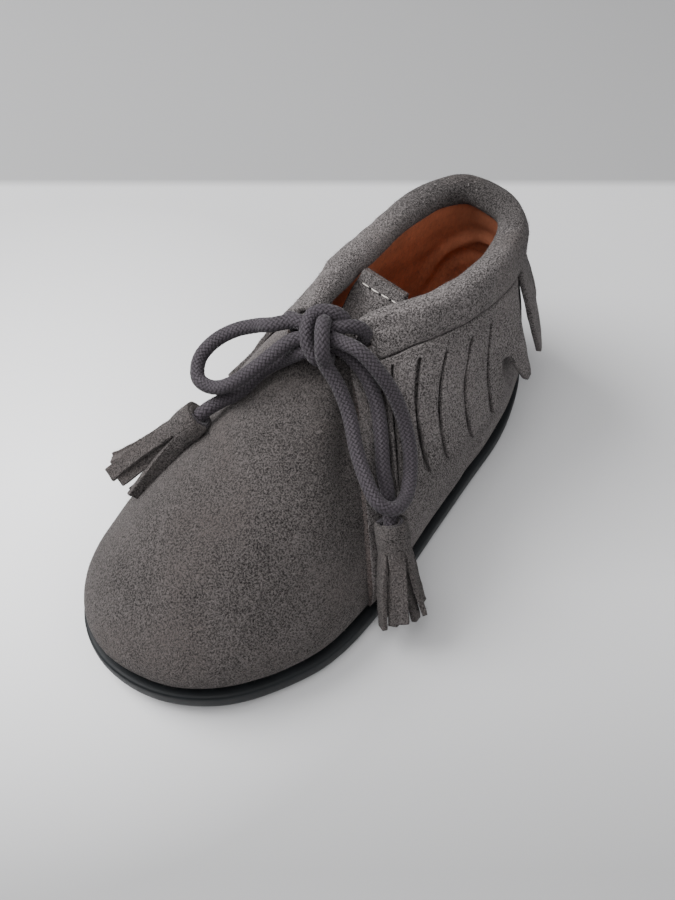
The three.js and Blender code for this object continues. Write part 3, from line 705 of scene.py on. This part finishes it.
def sew(name, onto, line, pitch, length, radius, material):
    """A row of stitches laid on a piece along a line, each sunk in at its ends."""
    shape = bmesh.new()
    shape.from_mesh(onto.data)
    tree = BVHTree.FromBMesh(shape)
    shape.free()
    clear_selection()
    bpy.ops.mesh.primitive_cylinder_add(vertices=8, radius=radius, depth=length)
    stitch = bpy.context.object
    stitch.name = name
    stitch.data.name = name
    bpy.ops.object.mode_set(mode="EDIT")
    bpy.ops.mesh.select_all(action="SELECT")
    bpy.ops.transform.rotate(value=math.pi / 2, orient_axis="Y", center_override=(0, 0, 0))
    bpy.ops.object.mode_set(mode="OBJECT")
    work = bmesh.new()
    work.from_mesh(stitch.data)
    for cut in STITCH_CUTS:
        geometry = work.verts[:] + work.edges[:] + work.faces[:]
        bmesh.ops.bisect_plane(work, geom=geometry, plane_co=(cut * length, 0, 0), plane_no=(1, 0, 0))
    for vertex in work.verts:
        vertex.co.z -= STITCH_DIP * radius * (2 * vertex.co.x / length) ** 2
    work.to_mesh(stitch.data)
    work.free()
    model = stitch.data.copy()
    spaced = spline(line, pitch)
    pieces = []
    for index, (a, b) in enumerate(zip(spaced, spaced[1:])):
        centre, normal, _, _ = tree.find_nearest((a + b) / 2)
        ahead = (b - a - normal * (b - a).dot(normal)).normalized()
        turn = Matrix((ahead, normal.cross(ahead), normal)).transposed().to_4x4()
        if index == 0:
            copy = stitch
        else:
            copy = new_piece(name, model.copy())
        copy.data.transform(Matrix.Translation(centre + normal * radius * STITCH_LIFT) @ turn)
        pieces.append(copy)
    clear_selection()
    for copy in pieces:
        copy.select_set(True)
    bpy.context.view_layer.objects.active = stitch
    bpy.ops.object.join()
    bpy.ops.object.shade_smooth()
    stitch.data.materials.clear()
    stitch.data.materials.append(material)
    return stitch


def dress(piece, slot, *nodes):
    """Makes a finished piece ride on the boot and stand for its nodes. Its slot is not used."""
    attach(piece, "root")
    if nodes:
        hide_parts(*nodes)
    return piece


CURVE_STEPS = 24


def spline(points, spacing):
    """Points a set distance apart on a smooth curve through the given ones."""
    line = []
    padded = [points[0] * 2 - points[1], *points, points[-1] * 2 - points[-2]]
    for a, b, c, d in zip(padded, padded[1:], padded[2:], padded[3:]):
        for step in range(CURVE_STEPS):
            t = step / CURVE_STEPS
            bend = (2 * a - 5 * b + 4 * c - d) * t * t + (3 * b - a - 3 * c + d) * t ** 3
            line.append(0.5 * (2 * b + (c - a) * t + bend))
    line.append(points[-1].copy())
    lengths = [0.0]
    for a, b in zip(line, line[1:]):
        lengths.append(lengths[-1] + (b - a).length)
    count = max(2, round(lengths[-1] / spacing))
    spaced = []
    index = 0
    for step in range(count + 1):
        goal = lengths[-1] * step / count
        while index < len(line) - 2 and lengths[index + 1] < goal:
            index += 1
        share = (goal - lengths[index]) / (lengths[index + 1] - lengths[index])
        spaced.append(line[index].lerp(line[index + 1], min(1.0, share)))
    return spaced


def route_length(line):
    return sum((b - a).length for a, b in zip(line, line[1:]))


BRAID_SPACING = 0.25 * MM
BRAID_AROUND = 66


def braided(name, points, diameter, relief, strands, around=BRAID_AROUND):
    """A braided cord along a route: a closed tube whose skin rises where a strand passes over another."""
    line = spline(points, BRAID_SPACING)
    girth = math.pi * diameter
    shape = bmesh.new()
    uv = shape.loops.layers.uv.new("UVMap")
    ahead = (line[1] - line[0]).normalized()
    side = ahead.orthogonal().normalized()
    rings = []
    done = 0.0
    for index, centre in enumerate(line):
        before = line[max(0, index - 1)]
        after = line[min(len(line) - 1, index + 1)]
        direction = (after - before).normalized()
        side = (side - direction * side.dot(direction)).normalized()
        other = direction.cross(side)
        if index:
            done += (centre - before).length / girth
        ring = []
        for step in range(around):
            u = step / around
            first = (u + done) * strands
            second = (u - done) * strands
            upper = (math.floor(first) + math.floor(second)) % 2
            across = second if upper else first
            height = math.sin(math.pi * (across - math.floor(across))) ** STRAND_CURVE
            radius = diameter / 2 + relief * (height - STRAND_LEVEL)
            angle = 2 * math.pi * u
            skin = math.cos(angle) * side + math.sin(angle) * other
            ring.append(shape.verts.new(centre + radius * skin))
        rings.append((ring, done))
    for (low, v0), (high, v1) in zip(rings, rings[1:]):
        for step in range(around):
            far = (step + 1) % around
            face = shape.faces.new((low[step], low[far], high[far], high[step]))
            u0, u1 = step / around, (step + 1) / around
            for loop, place in zip(face.loops, ((u0, v0), (u1, v0), (u1, v1), (u0, v1))):
                loop[uv].uv = place
    shape.faces.new(list(reversed(rings[0][0])))
    shape.faces.new(rings[-1][0])
    bmesh.ops.recalc_face_normals(shape, faces=shape.faces)
    mesh = bpy.data.meshes.new(name)
    shape.to_mesh(mesh)
    shape.free()
    for polygon in mesh.polygons:
        polygon.use_smooth = True
    return new_piece(name, mesh), line


def free_cord(scene, name, points, node):
    """One free run of the lace, from the knot to its far end."""
    lace = scene.boot_lace
    piece, line = braided(name, points, lace.diameter, lace.relief, lace.strands)
    piece.data.materials.append(lace_yarn(scene))
    dress(piece, "lace_cord", node)
    path = [tuple(point) for point in line[::4]] + [tuple(line[-1])]
    route_length(line)


# The camera, fitted to the photograph: its place, the way it looks back, and its right hand.
CAMERA_PLACE = Vector((114.06, -118.55, 248.47)) * MM
CAMERA_BACK = Vector((0.389, -0.432, 0.814))
CAMERA_RIGHT = Vector((0.743, 0.669, 0))
SENSOR_WIDTH = 36
FOCAL_LENGTH = 44


class BOOT_OT_camera(bpy.types.Operator):
    """Place the camera at the photograph's viewing angle"""

    bl_idname = "boot.camera"
    bl_label = "Camera"

    def execute(self, context):
        data = bpy.data.cameras.new("camera")
        data.sensor_width = SENSOR_WIDTH
        data.lens = FOCAL_LENGTH
        data.clip_start = 10 * MM
        camera = bpy.data.objects.new("camera", data)
        context.scene.collection.objects.link(camera)
        back = CAMERA_BACK.normalized()
        right = CAMERA_RIGHT.normalized()
        turn = Matrix((right, back.cross(right), back)).transposed().to_4x4()
        camera.matrix_world = Matrix.Translation(CAMERA_PLACE) @ turn
        context.scene.camera = camera
        return {"FINISHED"}


# A tassel is a strip of suede, rolled up and cut below its head into tails.
TASSEL_STRIPS = 9
TASSEL_HEAD = 7 * MM
TASSEL_LENGTH = 26 * MM
HEAD_SHARE = TASSEL_HEAD / TASSEL_LENGTH
SUEDE_THICKNESS = 1.25 * MM
ROLL_TURNS = 1.62
ROLL_INNER = 2.5 * MM
ROLL_GROWTH = 0.95 * MM
STRIP_POINTS = 5
STRIP_TAPER = 0.16
STRIP_GAP = 0.03
TASSEL_ROWS = 16
HEAD_ROWS = 4
FLAT_BEHIND = 0.42
FLAT_BEFORE = 0.25


def tail_forms(flare):
    """How each tail of a tassel differs: its length, flare, sway, twist and wave."""
    forms = []
    for _ in range(TASSEL_STRIPS):
        forms.append({
            "length": 1 - 0.09 * random.random(),
            "flare": flare * (0.55 + 0.6 * random.random()),
            "sway": random.uniform(-1, 1) * 1.5 * MM,
            "twist": random.uniform(-0.5, 0.5),
            "wave": random.uniform(-1, 1) * 0.6 * MM,
        })
    return forms


def tassel_spot(across, down, root, axis, side, face, tails):
    """Where a point of the flat strip comes to lie: rolled tight in the head, hung free below it."""
    angle = 2 * math.pi * ROLL_TURNS * across
    radius = ROLL_INNER + ROLL_GROWTH * ROLL_TURNS * across
    rolled = radius * (math.cos(angle) * side + math.sin(angle) * face)
    if down <= HEAD_SHARE:
        waist = 0.93 + 0.07 * math.sin(math.pi * down / HEAD_SHARE)
        return root + axis * (down * TASSEL_LENGTH) + rolled * waist
    t = (down - HEAD_SHARE) / (1 - HEAD_SHARE)
    place = across * TASSEL_STRIPS
    index = min(TASSEL_STRIPS - 1, int(place))
    tail = tails[index]
    middle = (index + 0.5) / TASSEL_STRIPS
    angle = 2 * math.pi * ROLL_TURNS * middle
    radius = ROLL_INNER + ROLL_GROWTH * ROLL_TURNS * middle
    outward = math.cos(angle) * side + math.sin(angle) * face
    tangent = -math.sin(angle) * side + math.cos(angle) * face
    hung = outward * (radius + tail["flare"] * t ** 1.4)
    depth = hung.dot(face)
    hung -= face * depth * (FLAT_BEHIND if depth < 0 else FLAT_BEFORE) * t
    hung += tangent * (tail["sway"] * t ** 1.5) + outward * tail["wave"] * math.sin(3.2 * t)
    width = 2 * math.pi * ROLL_TURNS * radius / TASSEL_STRIPS * (1 - STRIP_TAPER * t)
    turned = Matrix.Rotation(tail["twist"] * t, 3, axis) @ tangent
    flat_place = hung + turned * ((place - index - 0.5) * width)
    length = TASSEL_HEAD + (TASSEL_LENGTH * tail["length"] - TASSEL_HEAD) * t
    return root + axis * length + rolled.lerp(flat_place, min(1.0, t * 3))


def tassel(scene, name, ends, flat, seed, flare):
    """A tassel: a strip of suede rolled round the lace's end and cut into tails below its head."""
    random.seed(seed)
    root, tip = ends
    axis = (tip - root).normalized()
    side = axis.cross(flat).normalized()
    face = side.cross(axis).normalized()
    columns = TASSEL_STRIPS * STRIP_POINTS
    clear_selection()
    bpy.ops.mesh.primitive_grid_add(x_subdivisions=columns - 1, y_subdivisions=TASSEL_ROWS - 1, size=1)
    piece = bpy.context.object
    piece.name = name
    piece.data.name = name
    tails = tail_forms(flare)
    shape = bmesh.new()
    shape.from_mesh(piece.data)
    for vertex in shape.verts:
        vertex.co.z = 0
    cuts = []
    for polygon in shape.faces:
        centre = polygon.calc_center_median()
        column = int((centre.x + 0.5) * columns)
        row = int((centre.y + 0.5) * TASSEL_ROWS)
        if column % STRIP_POINTS == STRIP_POINTS - 1 and row >= HEAD_ROWS and column < columns - 1:
            cuts.append(polygon)
    bmesh.ops.delete(shape, geom=cuts, context="FACES")
    for vertex in shape.verts:
        across = vertex.co.x + 0.5
        down = vertex.co.y + 0.5
        step = round(across * columns)
        index = min(TASSEL_STRIPS - 1, step // STRIP_POINTS)
        local = (step - index * STRIP_POINTS) / (STRIP_POINTS - 1)
        if down > HEAD_ROWS / TASSEL_ROWS and local <= 1:
            across = (index + STRIP_GAP + (1 - 2 * STRIP_GAP) * local) / TASSEL_STRIPS
        vertex.co = tassel_spot(min(across, 0.9999), down, root, axis, side, face, tails)
    shape.to_mesh(piece.data)
    shape.free()
    apply_modifier(piece, "SOLIDIFY", thickness=SUEDE_THICKNESS, offset=0)
    bpy.ops.object.mode_set(mode="EDIT")
    bpy.ops.mesh.select_all(action="SELECT")
    bpy.ops.mesh.normals_make_consistent(inside=False)
    bpy.ops.object.mode_set(mode="OBJECT")
    soften(piece, 0.55)
    settle(piece, 0.16 * MM, 2 * MM)
    piece.data.materials.append(tassel_suede(scene))
    return piece


# The thin braid that ties a tassel's head.
WRAP_DIAMETER = 1.7 * MM
WRAP_RADIUS = 2.75 * MM
WRAP_TURNS = 1.25
WRAP_FROM = 0.5 * MM
WRAP_RISE = 0.6 * MM
WRAP_POINTS = 16
WRAP_STRANDS = 4
WRAP_RELIEF = 0.6
WRAP_AROUND = 20


def head_wrap(scene, name, ends):
    """The turn of thin braid that ties a tassel's head."""
    root, tip = ends
    axis = (tip - root).normalized()
    side = axis.orthogonal().normalized()
    other = axis.cross(side)
    points = []
    for step in range(WRAP_POINTS + 1):
        share = step / WRAP_POINTS
        angle = 2 * math.pi * WRAP_TURNS * share
        out = math.cos(angle) * side + math.sin(angle) * other
        points.append(root + axis * (WRAP_FROM + WRAP_RISE * share) + WRAP_RADIUS * out)
    relief = scene.boot_lace.relief * WRAP_RELIEF
    piece, _ = braided(name, points, WRAP_DIAMETER, relief, WRAP_STRANDS, WRAP_AROUND)
    piece.data.materials.append(lace_yarn(scene))
    return dress(piece, "lace_cord")


class BOOT_OT_lace(bpy.types.Operator):
    """Braid the lace's loops, ends, knot and bar, and hang its tassels"""

    bl_idname = "boot.lace"
    bl_label = "Lace and tassels"

    def execute(self, context):
        scene = context.scene
        lace = scene.boot_lace
        tassel_out = tassel(scene, "tassel_outer", TASSEL_OUT, TASSEL_OUT_FLAT, seed=3, flare=2.6 * MM)
        dress(tassel_out, "suede", "tassel_out")
        tassel_in = tassel(scene, "tassel_inner", TASSEL_IN, TASSEL_IN_FLAT, seed=8, flare=4.2 * MM)
        dress(tassel_in, "suede", "tassel_in")
        wrap_out = head_wrap(scene, "tassel_wrap_outer", TASSEL_OUT)
        wrap_in = head_wrap(scene, "tassel_wrap_inner", TASSEL_IN)
        free_cord(scene, "loop_outer", LOOP_OUT, "lace_loop_out")
        free_cord(scene, "loop_inner", LOOP_IN, "lace_loop_in")
        free_cord(scene, "end_outer", END_OUT, "lace_end_out")
        free_cord(scene, "end_inner", END_IN, "lace_end_in")
        held = (
            ("bar", BAR, ["lace_bar"]),
            ("knot_wrap", KNOT_WRAP, ["lace_knot"]),
            ("knot_arch", KNOT_ARCH, []),
        )
        for name, points, nodes in held:
            piece, _ = braided(name, points, lace.diameter, lace.relief, lace.strands)
            piece.data.materials.append(lace_yarn(scene))
            dress(piece, "lace_cord", *nodes)
        return {"FINISHED"}


# Each crease is a line on the piece, its depth and its half width; a negative depth makes a ridge.
CREASES = [
    (mm([(9.2, 2.9, 51.6), (12.1, -1.4, 47), (15.5, -6.2, 43.1), (20.3, -11.9, 37.7), (26, -15.7, 30.8)]),
     1.3 * MM, 3.4 * MM),
    (mm([(10.4, 12.4, 55), (7.6, 11.4, 56.4), (6.2, 8.6, 57.4)]), -1.5 * MM, 3.2 * MM),
    (mm([(-9, -12, 47), (-17, -18, 41), (-23, -24, 32)]), 0.5 * MM, 3 * MM),
    (mm([(4, -22, 42), (-6, -26, 42), (-16, -28, 37)]), 0.35 * MM, 4 * MM),
    (mm([(30, 34, 20), (31, 26, 17), (33, 16, 15)]), 0.5 * MM, 2.5 * MM),
]
# The lining's heel patch: its raised rim and the line inside it.
HEEL_PATCH = [
    (mm([
        (-15.4, 56, 14), (-14.4, 58.8, 23.4), (-12.4, 60, 30.6), (-9.8, 61.4, 37.1), (-6.1, 63.7, 41.6),
        (-0.3, 64.2, 46.3), (3.3, 63.9, 47.4), (8, 62.5, 44), (12, 60.5, 37), (15, 57, 28), (17, 54, 16),
    ]), -0.9 * MM, 1.5 * MM),
    (mm([
        (-14, 60, 13), (-13.2, 62, 21.1), (-9.4, 63.9, 31.8), (-3.5, 65.3, 38.5), (2, 65.5, 40.5),
        (7, 64.5, 38), (11, 62, 30), (14, 59, 21), (15, 57, 13),
    ]), 0.5 * MM, 1.2 * MM),
]
# The upper's materials in order, and the points in millimetres whose nearest patches they paint.
VAMP, QUARTER, LINING, EDGE = range(4)
UPPER_SEEDS = [
    ((0, -50, 70), VAMP), ((60, 10, 25), QUARTER), ((-60, 10, 25), QUARTER), ((0, 100, 30), QUARTER),
    ((0, 30, 30), LINING), ((0, -40, 16), LINING),
]
SUEDE_FACES = {VAMP, QUARTER, EDGE}
LINING_FACES = {LINING}


class BOOT_OT_upper(bpy.types.Operator):
    """Shape the suede upper with its lining"""

    bl_idname = "boot.upper"
    bl_label = "Upper"

    def execute(self, context):
        scene = context.scene
        piece = copy_of("upper", "upper_suede")
        materials = [vamp_suede(scene), quarter_suede(scene), rust_leather(scene), cut_suede(scene)]
        paint_patches(piece, UPPER_SEEDS, materials)
        soften(piece, 0.75)
        fill_out_foot(piece, SUEDE_FACES)
        settle(piece, 0.35 * MM, 11 * MM, CREASES, SUEDE_FACES)
        settle(piece, 0.2 * MM, 6 * MM, HEEL_PATCH, LINING_FACES)
        dress(piece, "suede", "upper")
        return {"FINISHED"}


COLLAR_CREASES = [
    (mm([(14.2, 24, 63), (17.6, 24.6, 60)]), 0.5 * MM, 1.6 * MM),
    (mm([(17, 36, 64), (20.4, 37, 60)]), 0.4 * MM, 1.8 * MM),
    (mm([(15, 52, 65), (20, 53, 60)]), 0.5 * MM, 1.8 * MM),
    (mm([(-9, 18, 62), (-14, 17, 59)]), 0.5 * MM, 1.8 * MM),
    (mm([(-10, 36, 64), (-15, 36, 60)]), 0.4 * MM, 1.8 * MM),
]
# The collar's front end, drawn towards the tab's corner.
COLLAR_END = (5.6, 15.4, 59.4)
COLLAR_PULL = (-1.8, -3.4, -1.2)


class BOOT_OT_collar(bpy.types.Operator):
    """Round the padded collar"""

    bl_idname = "boot.collar"
    bl_label = "Collar"

    def execute(self, context):
        piece = copy_of("collar_roll", "collar_padded")
        piece.data.materials.append(quarter_suede(context.scene))
        soften(piece, 0.2)
        settle(piece, 0.5 * MM, 7 * MM, COLLAR_CREASES)
        swell(piece, 0.55 * MM)
        pull(piece, COLLAR_END, 4.6 * MM, COLLAR_PULL)
        dress(piece, "suede", "collar_roll")
        return {"FINISHED"}


TONGUE_SEEDS = [((0, -10, 75), 0), ((0, 40, 45), 1)]
TONGUE_SEAM = mm([
    (-5.6, 22.4, 58.5), (-3.9, 22.5, 58.5), (0.5, 22.5, 58.7), (4.4, 22.7, 58.8), (6.6, 22.8, 58.6),
])
STITCH_PITCH = 3 * MM


class BOOT_OT_tongue(bpy.types.Operator):
    """Shape the tongue and sew its top edge"""

    bl_idname = "boot.tongue"
    bl_label = "Tongue"

    def execute(self, context):
        scene = context.scene
        piece = copy_of("tongue", "tongue_suede")
        paint_patches(piece, TONGUE_SEEDS, [quarter_suede(scene), rust_leather(scene), cut_suede(scene)])
        soften(piece, 0.7)
        dress(piece, "suede", "tongue")
        pale = made("pale_thread", thread, PALE_THREAD)
        row = sew("tongue_stitches", piece, TONGUE_SEAM, STITCH_PITCH, 2.2 * MM, 0.17 * MM, pale)
        dress(row, "suede")
        # Dark stubs beside the stitches stand for the shade inside their needle holes: painted shade.
        dark = made("hole_shadow", thread, HOLE_SHADOW)
        holes = [point + Vector((STITCH_PITCH / 2, 0, 0)) for point in TONGUE_SEAM]
        row = sew("tongue_hole_shadows", piece, holes, STITCH_PITCH, 0.7 * MM, 0.3 * MM, dark)
        dress(row, "suede")
        return {"FINISHED"}


class BOOT_OT_insole(bpy.types.Operator):
    """Cover the insole in leather"""

    bl_idname = "boot.insole"
    bl_label = "Insole"

    def execute(self, context):
        piece = copy_of("insole", "insole_leather")
        piece.data.materials.append(insole_leather(context.scene))
        soften(piece, 0.3)
        dress(piece, "lining_leather", "insole")
        return {"FINISHED"}


class BOOT_OT_sole(bpy.types.Operator):
    """Round the rubber sole"""

    bl_idname = "boot.sole"
    bl_label = "Sole"

    def execute(self, context):
        scene = context.scene
        piece = copy_of("outsole", "outsole_rubber")
        piece.data.materials.append(made("sole_rubber", rubber, scene.boot_sole.colour))
        soften(piece, 0.2)
        dress(piece, "rubber", "outsole")
        return {"FINISHED"}


# The inner fringe's front strip, pressed in.
INNER_STRIP = (-24, 0, 38)
INNER_PRESS = (1.5, 1, 0)


class BOOT_OT_fringes(bpy.types.Operator):
    """Hang the fringes at the sides and the back"""

    bl_idname = "boot.fringes"
    bl_label = "Fringes"

    def execute(self, context):
        scene = context.scene
        for node in ("fringe_side_out", "fringe_back", "fringe_side_in"):
            piece = copy_of(node, node.replace("fringe", "tails"))
            piece.data.materials.append(quarter_suede(scene))
            soften(piece, 0.85)
            settle(piece, 0.25 * MM, 5 * MM)
            if node == "fringe_side_out":
                stand_off(piece, 0.9 * MM)
            if node == "fringe_side_in":
                pull(piece, INNER_STRIP, 10 * MM, INNER_PRESS)
            dress(piece, "suede", node)
        return {"FINISHED"}


VIEW_AHEAD = (-0.669, 0.743)
BACKDROP_FROM = 123 * MM
FLOOR_LIGHT_SPOT = (-0.055, -0.045, 0)
LIGHT_REACH = 110 * MM
NEAR_FROM = -100 * MM
NEAR_RUN = 70 * MM
# Shares of the floor's colour: painted shade near the camera, elsewhere, a painted pool of light, and on
# the backdrop.
NEAR_SHADE = 0.46
EVEN_SHADE = 0.76
POOL_SHADE = 1.3
BACKDROP_SHADE = 0.42
# The soft lamps: name, place and size in metres, share of the key power.
LAMPS = (
    ("key", (-0.42, -0.22, 0.55), 0.5, 1),
    ("top", (0.05, -0.35, 0.95), 0.8, 0.75),
    ("fill", (0.75, 0.1, 0.6), 0.8, 0.3),
)
LAMPS_AIM = Vector((0, 0, 0.03))
ROOM_COLOUR = (0.8, 0.8, 0.82, 1)
ROOM_STRENGTH = 0.42


class BOOT_OT_stage(bpy.types.Operator):
    """Set the pale floor, with painted shade and a painted pool of light on it, and the soft studio light
    """

    bl_idname = "boot.stage"
    bl_label = "Stage"

    def execute(self, context):
        scene = context.scene
        stage = scene.boot_stage
        clear_selection()
        bpy.ops.mesh.primitive_plane_add(size=6, location=(0, 0, 0))
        floor = bpy.context.object
        floor.name = "floor"
        s = Surface("floor_paint")
        spot = s.place()
        ahead = s.part(spot, 0) * VIEW_AHEAD[0] + s.part(spot, 1) * VIEW_AHEAD[1]
        # Painted on the floor: shade that darkens it towards the camera, and a pool of light round a spot
        # beside the boot on its left.
        near = s.ramp((ahead - NEAR_FROM) / NEAR_RUN, (0, 0), (1, 1))
        even = s.mix(near, colour(stage.floor_colour, NEAR_SHADE), colour(stage.floor_colour, EVEN_SHADE))
        pool = s.ramp(s.distance(FLOOR_LIGHT_SPOT) / LIGHT_REACH, (0, 1), (1, 0))
        lit = s.mix(pool, even, colour(stage.floor_colour, POOL_SHADE))
        far = s.ramp((ahead - BACKDROP_FROM) / (4 * MM) + 0.5, (0, 0), (1, 1))
        paint = s.mix(far, lit, colour(stage.floor_colour, BACKDROP_SHADE))
        finish = {"Base Color": paint, "Roughness": 0.6, "Specular IOR Level": 0.25}
        floor.data.materials.append(s.finish(finish))
        for name, place, size, share in LAMPS:
            data = bpy.data.lights.new(name, "AREA")
            data.shape = "DISK"
            data.size = size
            data.energy = stage.key_power * share
            light = bpy.data.objects.new(name, data)
            scene.collection.objects.link(light)
            light.location = place
            light.rotation_euler = (Vector(place) - LAMPS_AIM).to_track_quat("Z", "Y").to_euler()
        world = bpy.data.worlds.new("room")
        world.use_nodes = True
        world.node_tree.nodes["Background"].inputs[0].default_value = ROOM_COLOUR
        world.node_tree.nodes["Background"].inputs[1].default_value = ROOM_STRENGTH
        scene.world = world
        return {"FINISHED"}


# The loose fibres: name, the pieces they grow from, how many, and the seed of their draws.
FIBRES = (
    ("fibres_upper", ("upper_suede",), 9000, 11),
    ("fibres_collar", ("collar_padded", "tongue_suede"), 9000, 12),
    ("fibres_fringe", ("tails_side_out", "tails_back", "tails_side_in"), 9000, 13),
    ("fibres_tassel", ("tassel_outer", "tassel_inner"), 5000, 14),
)


class BOOT_OT_fibres(bpy.types.Operator):
    """Let loose fibres stand out of the suede and its cut edges"""

    bl_idname = "boot.fibres"
    bl_label = "Loose fibres"

    def execute(self, context):
        scene = context.scene
        for name, sources, count, seed in FIBRES:
            fuzz(scene, name, [bpy.data.objects[source] for source in sources], count, seed)
        return {"FINISHED"}


STEPS = (
    BOOT_OT_camera, BOOT_OT_lace, BOOT_OT_upper, BOOT_OT_collar, BOOT_OT_tongue, BOOT_OT_insole,
    BOOT_OT_sole, BOOT_OT_fringes, BOOT_OT_fibres, BOOT_OT_stage,
)
GROUPS = {"boot_suede": BootSuede, "boot_lace": BootLace, "boot_sole": BootSole, "boot_stage": BootStage}


class BOOT_PT_panel(bpy.types.Panel):
    """Lists the boot's sizes, colours and steps"""

    bl_idname = "BOOT_PT_panel"
    bl_label = "Fringe boot"
    bl_space_type = "VIEW_3D"
    bl_region_type = "UI"
    bl_category = "Fringe boot"

    def draw(self, context):
        for name, group in GROUPS.items():
            box = self.layout.box()
            for key in group.__annotations__:
                box.prop(getattr(context.scene, name), key)
        for step in STEPS:
            self.layout.operator(step.bl_idname)


def register():
    for kind in (*GROUPS.values(), *STEPS, BOOT_PT_panel):
        bpy.utils.register_class(kind)
    for name, group in GROUPS.items():
        setattr(bpy.types.Scene, name, bpy.props.PointerProperty(type=group))


def unregister():
    for name in GROUPS:
        delattr(bpy.types.Scene, name)
    for kind in reversed((*GROUPS.values(), *STEPS, BOOT_PT_panel)):
        bpy.utils.unregister_class(kind)


def main():
    register()
    for step in STEPS:
        group, name = step.bl_idname.split(".")
        getattr(getattr(bpy.ops, group), name)()


if __name__ == "__main__":
    main()
